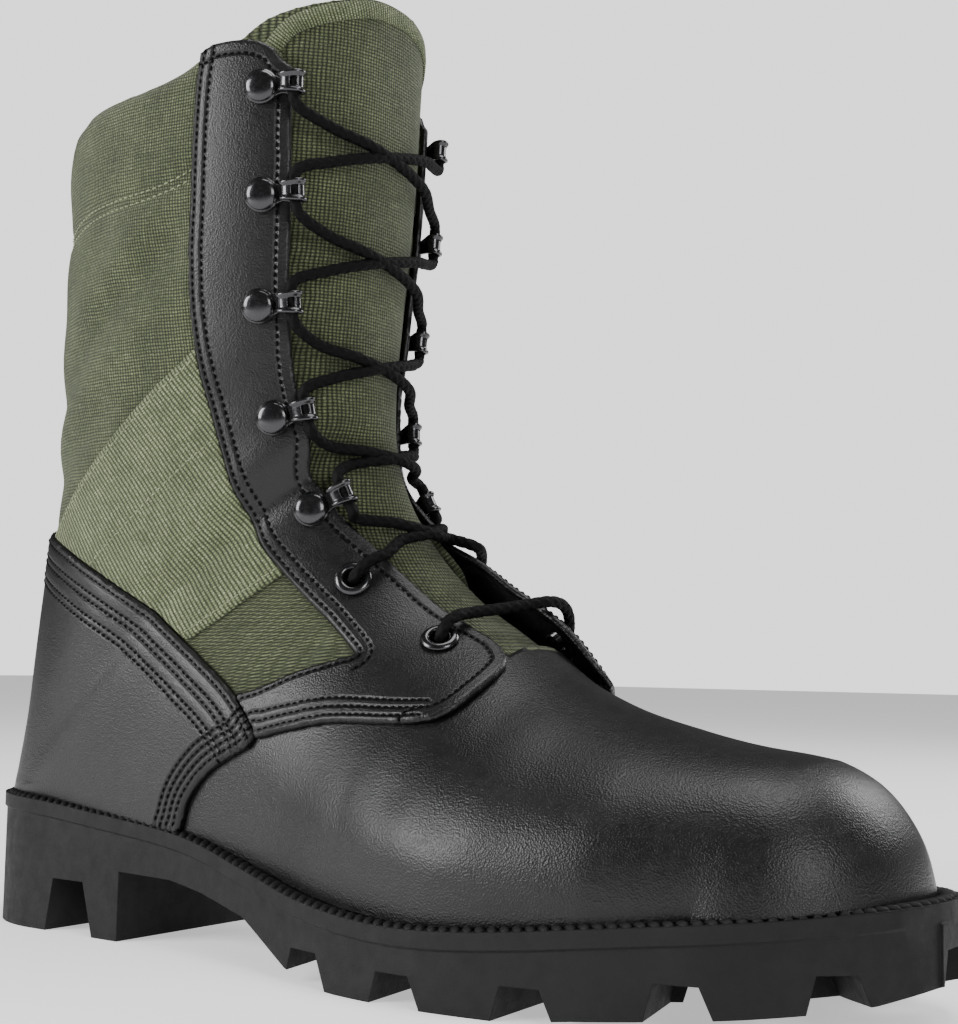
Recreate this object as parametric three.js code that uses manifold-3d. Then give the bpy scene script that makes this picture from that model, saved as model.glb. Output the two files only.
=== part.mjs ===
// Jungle boot for the right foot, empty and standing on its sole.
// Millimetres. X runs from heel to toe, Z is up, the outer side of the foot is at minus Y.
import * as THREE from "three";
import { mergeVertices } from "three/addons/utils/BufferGeometryUtils.js";
import Module from "manifold-3d";

const wasm = await Module();
wasm.setup();

// Sizes of the bottom
const soleLength = 313;
const ballWidth = 107;
const heelWidth = 75;
const heelHeight = 40.5;
const ballHeight = 19.2;
const toeHeight = 30;
const archHeight = 20;
const toeSpring = 11;
const lugDepth = 8;
const heelLugDepth = 16;
const grooveDepth = 6;
const gapWidth = 10;
const weltMargin = 5.5;
const weltStep = 0.9;
const weltThickness = 4.2;

// Sizes of the last and the shaft
const toeTop = 64;
const instepHeight = 95;
const ankleWidth = 70;
const shaftHeight = 272;
const shaftWidth = 87;

// Materials and fits
const upperWall = 2.2;
const overlayThickness = 2;
const counterThickness = 2.4;
const webbingThickness = 1;
const tongueThickness = 2.6;
const insoleThickness = 4;
const fit = 0.3;

// Fastenings
const tongueRise = 12.5;
const tongueLap = 8;
const eyeletFlange = 5.4;
const eyeletHole = 2.6;
const eyeletBarrel = 3.3;
const eyeletRim = 1;
const hookDome = 5.4;
const hookDomeRise = 2.3;
const hookPlate = 0.8;
const hookWidth = 7;
const hookReach = 13.4;
const hookRise = 5.6;
const laceDiameter = 4;
const laceRide = 3.4;

// A smooth value between the rows of a table, by the column named at
function valueAt(rows, at, column) {
  const last = rows.length - 1;
  if (at <= rows[0].at) {
    return rows[0][column];
  }
  if (at >= rows[last].at) {
    return rows[last][column];
  }
  const i = rows.findIndex((row) => row.at > at) - 1;
  const slope = (k) => {
    const before = rows[Math.max(k - 1, 0)];
    const after = rows[Math.min(k + 1, last)];
    return (after[column] - before[column]) / (after.at - before.at);
  };
  const step = rows[i + 1].at - rows[i].at;
  const t = (at - rows[i].at) / step;
  const ease = t * t * (3 - 2 * t);
  return (
    rows[i][column] * (1 - ease) +
    rows[i + 1][column] * ease +
    step * (t * (1 - t) * (1 - t) * slope(i) - t * t * (1 - t) * slope(i + 1))
  );
}

// Solids and cutters
function solidOf(geometry) {
  const bare = new THREE.BufferGeometry();
  bare.setAttribute("position", geometry.getAttribute("position"));
  bare.setIndex(geometry.getIndex());
  const merged = mergeVertices(bare, 1e-4);
  const index = merged.index.array;
  const kept = [];
  for (let i = 0; i < index.length; i += 3) {
    const [a, b, c] = [index[i], index[i + 1], index[i + 2]];
    if (a !== b && b !== c && c !== a) {
      kept.push(a, b, c);
    }
  }
  const vertProperties = merged.attributes.position.array;
  return new wasm.Manifold(new wasm.Mesh({ numProp: 3, vertProperties, triVerts: new Uint32Array(kept) }));
}

function extruded(shape, depth, basis, start) {
  const geometry = new THREE.ExtrudeGeometry(shape, { depth, bevelEnabled: false, curveSegments: 3 });
  geometry.applyMatrix4(new THREE.Matrix4().makeBasis(...basis).setPosition(start));
  return solidOf(geometry);
}

const axisX = new THREE.Vector3(1, 0, 0);
const axisY = new THREE.Vector3(0, 1, 0);
const axisZ = new THREE.Vector3(0, 0, 1);

function fromSide(shape, low, high) {
  const start = new THREE.Vector3(0, high, 0);
  return extruded(shape, high - low, [axisX, axisZ, axisY.clone().negate()], start);
}

function fromFront(shape, low, high) {
  return extruded(shape, high - low, [axisY, axisZ, axisX], new THREE.Vector3(low, 0, 0));
}

function fromAbove(shape, low, high) {
  return extruded(shape, high - low, [axisX, axisY, axisZ], new THREE.Vector3(0, 0, low));
}

const polygon = (points) => new THREE.Shape(points.map(([a, b]) => new THREE.Vector2(a, b)));

// Plan of the sole: its middle line and half width, as shares of the ball width
const heelShare = heelWidth / ballWidth / 2;
const planRows = [
  { at: 0.0, middle: 0.0, half: heelShare },
  { at: 0.2, middle: 0.0, half: heelShare },
  { at: 0.33, middle: -0.033, half: 0.327 },
  { at: 0.42, middle: -0.047, half: 0.364 },
  { at: 0.5, middle: -0.051, half: 0.425 },
  { at: 0.57, middle: -0.047, half: 0.472 },
  { at: 0.64, middle: -0.036, half: 0.497 },
  { at: 0.71, middle: -0.014, half: 0.497 },
  { at: 0.78, middle: 0.005, half: 0.474 },
  { at: 0.845, middle: 0.024, half: 0.435 },
  { at: 1.0, middle: 0.08, half: 0.39 },
];
const toeRoundFrom = 0.845;
const heelRoundTo = heelWidth / 2 / soleLength;
const roundness = 2.05;

function planSide(x, side, margin = 0) {
  const at = x / soleLength;
  const toe = Math.max(0, (at - toeRoundFrom) / (1 - toeRoundFrom));
  const heel = Math.max(0, (heelRoundTo - at) / heelRoundTo);
  const end = Math.min(1, Math.max(toe, heel));
  const round = (1 - end ** roundness) ** (1 / roundness);
  const half = valueAt(planRows, at, "half") * ballWidth * round - margin;
  return valueAt(planRows, at, "middle") * ballWidth + side * Math.max(half, 0);
}

// Height of the top of the sole, on which the upper stands
const spring = toeHeight - ballHeight;
const seatRows = [
  { at: 0.0, height: heelHeight },
  { at: 0.1, height: 0.985 * heelHeight },
  { at: 0.2, height: 0.92 * heelHeight },
  { at: 0.33, height: 0.81 * heelHeight },
  { at: 0.43, height: 0.65 * heelHeight },
  { at: 0.51, height: ballHeight + 0.06 * heelHeight },
  { at: 0.6, height: ballHeight },
  { at: 0.68, height: ballHeight + 0.05 * spring },
  { at: 0.8, height: ballHeight + 0.4 * spring },
  { at: 1.0, height: toeHeight },
];
const seat = (x) => valueAt(seatRows, x / soleLength, "height");

// Sections of the last. Each runs from a point at the back or underneath to one at the front or on top.
// Along: shares of the sole length. Front heights: shares of the instep height. Widths: of the ball width.
const toeRise = toeTop / instepHeight;
const footRows = [
  { back: 0.847, front: 0.847, rise: toeRise, half: 0.386, middle: 0.026, ridge: 0.03, flat: 0.93 },
  { back: 0.783, front: 0.789, rise: 0.711, half: 0.437, middle: 0.005, ridge: 0.035, flat: 0.93 },
  { back: 0.71, front: 0.722, rise: 0.768, half: 0.46, middle: -0.012, ridge: 0.045, flat: 0.93 },
  { back: 0.64, front: 0.665, rise: 0.842, half: 0.46, middle: -0.03, ridge: 0.06, flat: 0.93 },
  { back: 0.57, front: 0.617, rise: 0.94, half: 0.43, middle: -0.04, ridge: 0.085, flat: 0.93 },
  { back: 0.5, front: 0.578, rise: 1.02, half: 0.388, middle: -0.042, ridge: 0.1, flat: 0.92 },
  { back: 0.42, front: 0.543, rise: 1.1, half: 0.341, middle: -0.037, ridge: 0.105, flat: 0.9 },
];
// Fullness of the same sections: height of the widest point, and how square the two shoulders are
const fullRows = [
  { belly: 0.3, outer: 2.3, inner: 2.3 },
  { belly: 0.3, outer: 2.1, inner: 2.1 },
  { belly: 0.3, outer: 1.95, inner: 2.0 },
  { belly: 0.3, outer: 1.85, inner: 2.1 },
  { belly: 0.3, outer: 1.78, inner: 2.4 },
  { belly: 0.3, outer: 1.76, inner: 2.6 },
  { belly: 0.32, outer: 1.82, inner: 2.5 },
];
// Heel and ankle: widths are shares of the ankle width
const heelRows = [
  { back: 0.33, front: 0.514, rise: 1.195, half: 0.48, middle: -0.043, ridge: 0.145, flat: 0.9 },
  { back: 0.24, front: 0.492, rise: 1.295, half: 0.49, middle: -0.015, ridge: 0.115, flat: 0.9 },
  { back: 0.15, front: 0.478, rise: 1.4, half: 0.495, middle: 0, ridge: 0.07, flat: 0.86 },
  { back: 0.068, front: 0.47, rise: 1.5, half: 0.5, middle: 0, ridge: 0.03, flat: 0.7 },
  { back: 0.029, front: 0.465, rise: 1.59, half: 0.49, middle: 0, ridge: 0.015, flat: 0.4 },
];
const fullHeelRows = [
  { belly: 0.35, outer: 1.9, inner: 2.4 },
  { belly: 0.37, outer: 1.9, inner: 2.3 },
  { belly: 0.38, outer: 1.9, inner: 2.2 },
  { belly: 0.4, outer: 1.9, inner: 2.2 },
  { belly: 0.42, outer: 1.9, inner: 2.25 },
];
// Shaft: heights are shares of the shaft height, widths of the shaft width
const shaftRows = [
  { back: 0.019, low: 0.2, front: 0.462, high: 0.585, half: 0.405, belly: 0.42, square: 2.3 },
  { back: 0.026, low: 0.285, front: 0.46, high: 0.618, half: 0.403, belly: 0.44, square: 2.35 },
  { back: 0.038, low: 0.382, front: 0.4585, high: 0.655, half: 0.41, belly: 0.46, square: 2.4 },
  { back: 0.052, low: 0.478, front: 0.4585, high: 0.695, half: 0.436, belly: 0.47, square: 2.4 },
  { back: 0.052, low: 0.58, front: 0.46, high: 0.743, half: 0.457, belly: 0.48, square: 2.4 },
  { back: 0.056, low: 0.69, front: 0.463, high: 0.8, half: 0.478, belly: 0.49, square: 2.4 },
  { back: 0.058, low: 0.8, front: 0.466, high: 0.868, half: 0.49, belly: 0.5, square: 2.4 },
  { back: 0.063, low: 0.905, front: 0.468, high: 0.941, half: 0.496, belly: 0.5, square: 2.4 },
  { back: 0.072, low: 1.0, front: 0.47, high: 1.01, half: 0.5, belly: 0.5, square: 2.4 },
  { back: 0.078, low: 1.1, front: 0.4715, high: 1.1, half: 0.505, belly: 0.5, square: 2.4 },
  { back: 0.08, low: 1.18, front: 0.4725, high: 1.18, half: 0.507, belly: 0.5, square: 2.4 },
];
const underSeat = 8;
const toeFan = 5;
const toeBluntness = 2.5;
const toePlan = { ridge: 0.075, outer: 2.15, inner: 2.15, half: 0.985 };

function footSection(row, width, full) {
  const backX = row.back * soleLength;
  return {
    backX,
    backZ: seat(backX) - underSeat,
    frontX: row.front * soleLength,
    frontZ: row.rise * instepHeight,
    half: row.half * width,
    middle: row.middle * width,
    ridge: row.ridge * width,
    belly: full.belly,
    flat: row.flat,
    low: 2.3,
    outer: full.outer,
    inner: full.inner,
  };
}

function shaftSection(row) {
  return {
    backX: row.back * soleLength,
    backZ: row.low * shaftHeight,
    frontX: row.front * soleLength,
    frontZ: row.high * shaftHeight,
    half: row.half * shaftWidth,
    middle: 0,
    ridge: 0,
    belly: row.belly,
    flat: 0,
    low: 2.1,
    outer: row.square,
    inner: row.square,
  };
}

// The toe turns on one line under the vamp, from a level plan to the first upright section
function toeSection(step, first) {
  const turn = ((Math.PI / 2) * step) / toeFan;
  const share = step / toeFan;
  const reach = soleLength - weltMargin - first.backX;
  const rise = first.frontZ - first.backZ;
  const spread = (Math.cos(turn) / reach) ** toeBluntness + (Math.sin(turn) / rise) ** toeBluntness;
  const radius = spread ** (-1 / toeBluntness);
  const blend = (from, to) => from + (to - from) * share;
  return {
    ...first,
    frontX: first.backX + radius * Math.cos(turn),
    frontZ: first.backZ + radius * Math.sin(turn),
    half: first.half * toePlan.half,
    ridge: blend(toePlan.ridge * ballWidth, first.ridge),
    belly: first.belly * share * share,
    flat: blend(1, first.flat),
    outer: blend(toePlan.outer, first.outer),
    inner: blend(toePlan.inner, first.inner),
  };
}

const firstFoot = footSection(footRows[0], ballWidth, fullRows[0]);
const sections = [
  ...Array.from({ length: toeFan }, (_, step) => toeSection(step, firstFoot)),
  ...footRows.map((row, i) => footSection(row, ballWidth, fullRows[i])),
  ...heelRows.map((row, i) => footSection(row, ankleWidth, fullHeelRows[i])),
  ...shaftRows.map(shaftSection),
].map((section, at) => ({ ...section, at }));
const firstShaft = sections.length - shaftRows.length;
const stations = sections.map((section) => section.at);
stations.splice(toeFan + 1, 0, toeFan + 0.5);

// A point of the last. Turn runs from -1 at the outer edge underneath, over 0 on the ridge, to 1.
function lastPoint(at, turn) {
  const get = (column) => valueAt(sections, at, column);
  const side = Math.sign(turn) || 1;
  const quarter = 2 * (1 - Math.abs(turn));
  const under = quarter < 1;
  const angle = (Math.PI / 2) * (under ? quarter : quarter - 1);
  const belly = get("belly");
  const flat = get("flat");
  const power = 2 / get(under ? "low" : side < 0 ? "outer" : "inner");
  const low = belly * (1 - Math.cos(angle) ** power);
  const high = belly + (1 - belly) * Math.sin(angle) ** power;
  const wide = under ? flat + (1 - flat) * Math.sin(angle) ** power : Math.cos(angle) ** power;
  const lean = under ? 0 : Math.sin(angle) ** 2;
  const share = under ? low : high;
  const middle = get("middle") + (get("ridge") - get("middle")) * lean;
  return new THREE.Vector3(
    get("backX") + (get("frontX") - get("backX")) * share,
    middle + side * get("half") * Math.max(wide, 0),
    get("backZ") + (get("frontZ") - get("backZ")) * share,
  );
}

function lastNormal(at, turn) {
  const small = 0.004;
  const last = sections.length - 1;
  const across = lastPoint(at, Math.min(turn + small, 1)).sub(lastPoint(at, Math.max(turn - small, -1)));
  const along = lastPoint(Math.min(at + small, last), turn).sub(lastPoint(Math.max(at - small, 0), turn));
  const normal = across.cross(along).normalize();
  if (Math.abs(turn) < 1) {
    return normal;
  }
  return at < firstShaft - 1 ? new THREE.Vector3(0, turn, 0) : normal.setY(0).normalize();
}

// How far the inner stay stands off the tongue beside the eyelets, free of the vamp and pulled up by the lace
const flareRows = [
  { at: 7.6, lift: 0 },
  { at: 8.3, lift: 0.45 },
  { at: 9.2, lift: 1 },
  { at: 10.5, lift: 1 },
  { at: 11.6, lift: 0.85 },
  { at: 12.8, lift: 0 },
];
const flareHeight = 5;
const flareEdge = 0.21;
const flareRoot = 0.38;

function flare(at, turn) {
  const y = lastPoint(at, turn).y / ballWidth;
  const share = Math.min(1, Math.max(0, (flareRoot - y) / (flareRoot - flareEdge)));
  return turn > 0.5 ? 0 : flareHeight * valueAt(flareRows, at, "lift") * share * (2 - share);
}

// The last grown or shrunk by an offset, as a closed solid
const turnSteps = 24;
function form(offset, rise = () => 0) {
  const loops = stations.map((at) =>
    Array.from({ length: turnSteps + 1 }, (_, i) => {
      const turn = (2 * i) / turnSteps - 1;
      return lastPoint(at, turn).addScaledVector(lastNormal(at, turn), offset + rise(at, turn));
    }),
  );
  const points = loops.flat();
  const faces = [];
  const size = turnSteps + 1;
  for (let i = 0; i + 1 < loops.length; i += 1) {
    for (let j = 0; j < size; j += 1) {
      const a = i * size + j;
      const b = i * size + ((j + 1) % size);
      faces.push(a, b, a + size, b, b + size, a + size);
    }
  }
  const cap = (start, flip) => {
    for (let j = 1; j + 1 < size; j += 1) {
      faces.push(start, start + (flip ? j + 1 : j), start + (flip ? j : j + 1));
    }
  };
  cap(0, true);
  cap((loops.length - 1) * size, false);
  const geometry = new THREE.BufferGeometry().setFromPoints(points);
  geometry.setIndex(faces);
  return solidOf(geometry);
}

// What lies under the sole's top, and what lies over the collar
const beyond = 20;
const seatSteps = 24;

function seatLine(lift, low) {
  const points = Array.from({ length: seatSteps + 1 }, (_, i) => {
    const x = -beyond + ((soleLength + 2 * beyond) * i) / seatSteps;
    return [x, seat(x) + lift];
  });
  return fromSide(polygon([...points, [soleLength + beyond, low], [-beyond, low]]), -ballWidth, ballWidth);
}

// Side view points: along is a share of the sole length
const onShaft = (along, height) => [along * soleLength, height * shaftHeight];
const onFoot = (along, height) => [along * soleLength, height * instepHeight];

const collarLine = [
  onShaft(-0.1, 0.924),
  onShaft(0.07, 0.928),
  onShaft(0.17, 0.941),
  onShaft(0.26, 0.946),
  onShaft(0.31, 0.956),
  onShaft(0.345, 0.973),
  onShaft(0.39, 0.978),
  onShaft(0.412, 0.966),
  onShaft(0.425, 0.95),
  onShaft(0.6, 0.95),
];

// The throat: its two edges from above down, as shares of the ball width and heights of side view points
const throatRows = [
  { outer: -0.305, inner: 0.305, wall: 0.305, height: 1.01 * shaftHeight },
  { outer: -0.3, inner: 0.3, wall: 0.3, height: 0.882 * shaftHeight },
  { outer: -0.28, inner: 0.28, wall: 0.28, height: 0.754 * shaftHeight },
  { outer: -0.257, inner: 0.257, wall: 0.257, height: 0.665 * shaftHeight },
  { outer: -0.215, inner: 0.224, wall: 0.224, height: 0.57 * shaftHeight },
  { outer: -0.155, inner: 0.192, wall: 0.21, height: 1.38 * instepHeight },
  { outer: -0.075, inner: 0.185, wall: 0.29, height: 1.2 * instepHeight },
  { outer: -0.037, inner: 0.21, wall: 0.32, height: 1.0 * instepHeight },
  { outer: -0.037, inner: 0.224, wall: 0.32, height: 0.6 * instepHeight },
];
const throatStart = 0.25 * soleLength;
const throatWiden = 0.505 * soleLength;
const throatEnd = 0.616 * soleLength;
const throatMiddle = 0.075 * ballWidth;

function throatShape(column) {
  const outer = throatRows.map((row) => [row.outer * ballWidth, row.height]);
  const inner = throatRows.map((row) => [row[column] * ballWidth, row.height]);
  return polygon([...outer, ...inner.reverse()]);
}

const throatAbove = fromFront(throatShape("inner"), throatStart, throatEnd);
const throatUnderFlap = fromFront(throatShape("wall"), throatWiden, throatEnd);
const throat = throatAbove.add(throatUnderFlap);
const throatBeyond = fromFront(throatShape("inner"), throatStart, soleLength);
const belowSeat = seatLine(fit, -beyond);
const last = form(0);
const inside = form(-upperWall);

function shell(inner, outer, rise) {
  return form(outer, rise).subtract(form(inner, rise));
}

function sideOf(side) {
  const edge = throatMiddle;
  const [low, high] = side < 0 ? [-ballWidth, edge] : [edge, ballWidth];
  const box = polygon([
    [-beyond, low],
    [soleLength + beyond, low],
    [soleLength + beyond, high],
    [-beyond, high],
  ]);
  return fromAbove(box, -beyond, 2 * shaftHeight);
}

// The surface under a stay: the last, raised on the inner side where the stay stands off
function skin(at, turn, side) {
  return lastPoint(at, turn).addScaledVector(lastNormal(at, turn), side > 0 ? flare(at, turn) : 0);
}

function skinNormal(at, turn, side) {
  const [alongStep, turnStep] = [0.02, 0.002];
  const across = skin(at, turn + turnStep, side).sub(skin(at, turn - turnStep, side));
  const along = skin(at + alongStep, turn, side).sub(skin(at - alongStep, turn, side));
  return across.cross(along).normalize();
}

// The spot on the front half of the last that meets the wanted coordinates best, found by narrowing a grid
function spotOnLast(wanted, side = 0) {
  const [lowest, highest] = [side > 0 ? 0 : -0.5, side < 0 ? 0 : 0.5];
  let best = { miss: Infinity };
  const search = (steps, atFrom, atTo, turnFrom, turnTo) => {
    for (let i = 0; i <= steps; i += 1) {
      for (let j = 0; j <= steps; j += 1) {
        const at = atFrom + ((atTo - atFrom) * i) / steps;
        const turn = Math.min(highest, Math.max(lowest, turnFrom + ((turnTo - turnFrom) * j) / steps));
        const p = lastPoint(at, turn);
        const miss = Math.hypot(...Object.entries(wanted).map(([axis, value]) => p[axis] - value));
        if (miss < best.miss) {
          best = { miss, at, turn };
        }
      }
    }
  };
  search(60, toeFan, sections.length - 1, -0.5, 0.5);
  for (let reach = 0.05; reach > 1e-5; reach *= 0.4) {
    const { at, turn } = best;
    const span = reach * sections.length;
    search(12, Math.max(at - span, 0), Math.min(at + span, sections.length - 1), turn - reach, turn + reach);
  }
  return best;
}

// Rows of fastenings from the top. Hooks stand at shares of the leg between the upper eyelets and the
// shaft's top, set back from the throat's edges by shares of their dome, and lean up toward their tips.
// Eyelets stand at shares of the sole length.
const eyeletHeight = 1.122 * instepHeight;
const onLeg = (share) => eyeletHeight + share * (shaftHeight - eyeletHeight);
const fasteningRows = [
  { height: onLeg(0.875), hook: true, outer: 0.61, inner: 0.82, lean: 0 },
  { height: onLeg(0.682), hook: true, outer: 0.57, inner: 0.82, lean: 0.04 },
  { height: onLeg(0.487), hook: true, outer: 0.6, inner: 0.95, lean: 0.05 },
  { height: onLeg(0.29), hook: true, outer: 0.6, inner: 0.75, lean: 0.18 },
  { height: onLeg(0.128), hook: true, outer: 0.59, inner: 0.85, lean: 0.42 },
  { height: eyeletHeight, hook: false, outer: 0.468, inner: 0.49, rise: -0.03, lean: 0 },
  { height: 0.934 * instepHeight, hook: false, outer: 0.562, inner: 0.585, rise: 0, lean: 0 },
];

function throatEdge(height, side) {
  const rows = throatRows.map((row) => ({ at: -row.height, edge: side < 0 ? row.outer : row.inner }));
  return valueAt(rows, -height, "edge") * ballWidth;
}

function fasteningSpot(row, side) {
  const share = side < 0 ? row.outer : row.inner;
  if (row.hook) {
    return spotOnLast({ y: throatEdge(row.height, side) + side * share * hookDome, z: row.height }, side);
  }
  const rise = side < 0 ? 0 : row.rise * instepHeight;
  return spotOnLast({ x: share * soleLength, z: row.height + rise }, side);
}

// The frame of a fastening: x points level across to the other side, or leans up, and z points away from
// the leather
function fasteningFrame(row, side, lift) {
  const { at, turn } = fasteningSpot(row, side);
  const normal = skinNormal(at, turn, side);
  const point = skin(at, turn, side).addScaledVector(normal, lift);
  const level = axisZ.clone().cross(normal).multiplyScalar(-side).normalize();
  const across = level.applyAxisAngle(normal, -side * row.lean);
  const upward = normal.clone().cross(across);
  return new THREE.Matrix4().makeBasis(across, upward, normal).setPosition(point);
}

const stayTop = fit + overlayThickness;
const hookSeat = stayTop + 2 * fit;
const eyeletSeat = stayTop + 2 * fit;
const eyeletTop = eyeletSeat + eyeletRim;

function lathed(profile, segments) {
  const turned = new THREE.LatheGeometry(profile.map(([r, z]) => new THREE.Vector2(r, z)), segments);
  return turned.rotateX(Math.PI / 2);
}

function placed(solid, frame) {
  return solid.transform(frame.elements);
}

// A rod through the stay and the upper, for the eyelet's hole
function eyeletBore(row, side) {
  const wide = eyeletBarrel + fit;
  const reach = eyeletFlange + stayTop;
  const rod = lathed([[0, -reach], [wide, -reach], [wide, reach], [0, reach]], 16);
  return placed(solidOf(rod), fasteningFrame(row, side, 0));
}

const eyeletRows = fasteningRows.filter((row) => !row.hook);
const hookRows = fasteningRows.filter((row) => row.hook);
const bores = [-1, 1].map((side) => eyeletBore(eyeletRows[0], side).add(eyeletBore(eyeletRows[1], side)));

// The upper is one hollow wall, open at the collar, the throat and underneath
function makeUpper() {
  const above = [...collarLine, onShaft(0.6, 1.4), onShaft(-0.1, 1.4)];
  const overCollar = fromSide(polygon(above), -ballWidth, ballWidth);
  return [inside, overCollar, belowSeat, throat, ...bores].reduce((wall, cut) => wall.subtract(cut), last);
}

// Outlines of the overlays in side view
const stayBack = [
  onFoot(0.498, 0.905),
  onFoot(0.459, 1.01),
  onFoot(0.415, 1.13),
  onFoot(0.376, 1.284),
  onShaft(0.342, 0.559),
  onShaft(0.323, 0.684),
  onShaft(0.327, 0.809),
  onShaft(0.331, 0.915),
  onShaft(0.337, 0.971),
];
const stayTopEdge = [
  onShaft(0.355, 0.979),
  onShaft(0.388, 0.979),
  onShaft(0.408, 0.969),
  onShaft(0.42, 0.951),
  onShaft(0.48, 0.9),
  onShaft(0.5, 0.7),
];
const bandUpper = [onFoot(0.376, 0.775), onFoot(0.41, 0.802), onFoot(0.446, 0.851)];
const bandLower = [onFoot(0.61, 0.722), onFoot(0.56, 0.715), onFoot(0.495, 0.709), onFoot(0.44, 0.672)];
const lobes = {
  outer: [onFoot(0.58, 1.2), onFoot(0.616, 1), onFoot(0.627, 0.9), onFoot(0.628, 0.82), onFoot(0.622, 0.76)],
  inner: [onFoot(0.61, 1.2), onFoot(0.645, 1.03), onFoot(0.66, 0.93), onFoot(0.664, 0.84), onFoot(0.65, 0.76)],
};
const counterTop = [
  onFoot(-0.05, 1.36),
  onFoot(0.03, 1.35),
  onFoot(0.11, 1.275),
  onFoot(0.2, 1.15),
  onFoot(0.268, 1.035),
  onFoot(0.33, 0.897),
  onFoot(0.378, 0.79),
  onFoot(0.416, 0.668),
];
const counterFront = [onFoot(0.406, 0.625), onFoot(0.362, 0.551), onFoot(0.334, 0.46), onFoot(0.322, 0.36)];

const counterLine = [...counterTop, ...counterFront];
const counterOutline = [...counterLine, onFoot(0.31, 0.1), onFoot(-0.05, 0.1)];

function makeCounter() {
  const region = fromSide(polygon(counterOutline), -ballWidth, ballWidth);
  return shell(fit, fit + counterThickness).intersect(region).subtract(belowSeat);
}

// An outline moved forward and up, so that what meets the counter's edge keeps clear of it
function shifted(points, by) {
  return points.map(([x, z]) => [x + by, z + by]);
}

function makeStay(side) {
  const lobe = side < 0 ? lobes.outer : lobes.inner;
  const outline = [...stayBack, ...stayTopEdge, ...lobe, ...bandLower, ...bandUpper];
  const nearCounter = fromSide(polygon(shifted(counterOutline, fit)), -ballWidth, ballWidth);
  return shell(fit, stayTop, side > 0 ? flare : undefined)
    .intersect(fromSide(polygon(outline), -ballWidth, ballWidth))
    .intersect(sideOf(side))
    .subtract(throatBeyond)
    .subtract(nearCounter)
    .subtract(bores[side < 0 ? 0 : 1]);
}

const webbingUpper = [
  onShaft(0.4, 0.72),
  onShaft(0.322, 0.645),
  onShaft(0.266, 0.601),
  onShaft(0.19, 0.536),
  onShaft(0.08, 0.44),
];
const webbingLower = [
  onFoot(0.08, 1.05),
  onFoot(0.26, 0.86),
  onFoot(0.333, 0.943),
  onFoot(0.379, 1.082),
  onFoot(0.47, 1.3),
];

function makeWebbing(side) {
  const backEdge = stayBack.map(([x, z]) => [x - fit, z]);
  const stayRegion = polygon([...backEdge, onShaft(0.6, 1), onFoot(0.6, 0.9)]);
  const beyondStay = fromSide(stayRegion, -ballWidth, ballWidth);
  const nearCounter = fromSide(polygon(shifted(counterOutline, fit)), -ballWidth, ballWidth);
  return shell(fit, fit + webbingThickness)
    .intersect(fromSide(polygon([...webbingUpper, ...webbingLower]), -ballWidth, ballWidth))
    .intersect(sideOf(side))
    .subtract(nearCounter)
    .subtract(beyondStay);
}

// The tongue's round top, as shares of its half breadth and of its height over its straight sides
const crownRows = [
  { across: 1, height: 0.4 },
  { across: 0.93, height: 0.55 },
  { across: 0.82, height: 0.77 },
  { across: 0.55, height: 0.9 },
  { across: 0.2, height: 0.98 },
  { across: -0.2, height: 0.98 },
  { across: -0.55, height: 0.9 },
  { across: -0.82, height: 0.77 },
  { across: -0.93, height: 0.55 },
  { across: -1, height: 0.4 },
];

// The tongue lies under the stays and under the edge of the vamp, and stands above the collar
function makeTongue() {
  const under = upperWall + fit;
  const sideOutline = [
    onShaft(0.33, 1.2),
    onShaft(0.33, 0.7),
    onShaft(0.355, 0.52),
    onFoot(0.42, 1.16),
    onFoot(0.52, 0.92),
    onFoot(0.63, 0.78),
    onFoot(0.66, 1.0),
    onFoot(0.58, 1.45),
    onShaft(0.58, 1.2),
  ];
  const rows = throatRows.slice(1);
  const breadth = rows[0].inner * ballWidth + tongueLap;
  const crown = crownRows.map((row) => {
    const height = rows[0].height + row.height * (shaftHeight + tongueRise - rows[0].height);
    return new THREE.Vector2(breadth * row.across, height);
  });
  const front = new THREE.Shape();
  front.moveTo(rows[0].outer * ballWidth - tongueLap, rows[0].height);
  rows.slice(1).forEach((row) => front.lineTo(row.outer * ballWidth - tongueLap, row.height));
  [...rows].reverse().forEach((row) => front.lineTo(row.inner * ballWidth + tongueLap, row.height));
  front.lineTo(crown[0].x, crown[0].y);
  front.splineThru(crown.slice(1));
  return shell(-under - tongueThickness, -under)
    .intersect(fromSide(polygon(sideOutline), -ballWidth, ballWidth))
    .intersect(fromFront(front, 0, soleLength));
}

function makeInsole() {
  return form(-upperWall - fit)
    .intersect(seatLine(fit + insoleThickness, -beyond))
    .subtract(belowSeat);
}

// Underside of the sole in side view, from the back of the heel to the toe
const breastAt = 0.243;
const treadRows = [
  { at: 0.492, height: 0.32 * toeSpring },
  { at: 0.53, height: 0.03 * toeSpring },
  { at: 0.56, height: 0 },
  { at: 0.72, height: 0 },
  { at: 0.776, height: 0.17 * toeSpring },
  { at: 0.82, height: 0.27 * toeSpring },
  { at: 0.895, height: 0.48 * toeSpring },
  { at: 0.933, height: 0.6 * toeSpring },
  { at: 0.971, height: 0.75 * toeSpring },
  { at: 1.0, height: toeSpring },
];
const archRows = [
  { at: breastAt, height: 1.02 * archHeight },
  { at: 0.313, height: archHeight },
  { at: 0.36, height: 0.89 * archHeight },
  { at: 0.425, height: 0.685 * archHeight },
];
const tread = (at) => (at < breastAt ? 0 : valueAt(treadRows, at, "height"));

function planShape(margin) {
  const steps = 22;
  const side = (which) =>
    Array.from({ length: steps + 1 }, (_, i) => {
      const x = margin + ((soleLength - 2 * margin) * (1 - Math.cos((Math.PI * i) / steps))) / 2;
      return [x, planSide(x, which, margin)];
    });
  return polygon([...side(-1), ...side(1).reverse().slice(1, -1)]);
}

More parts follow.
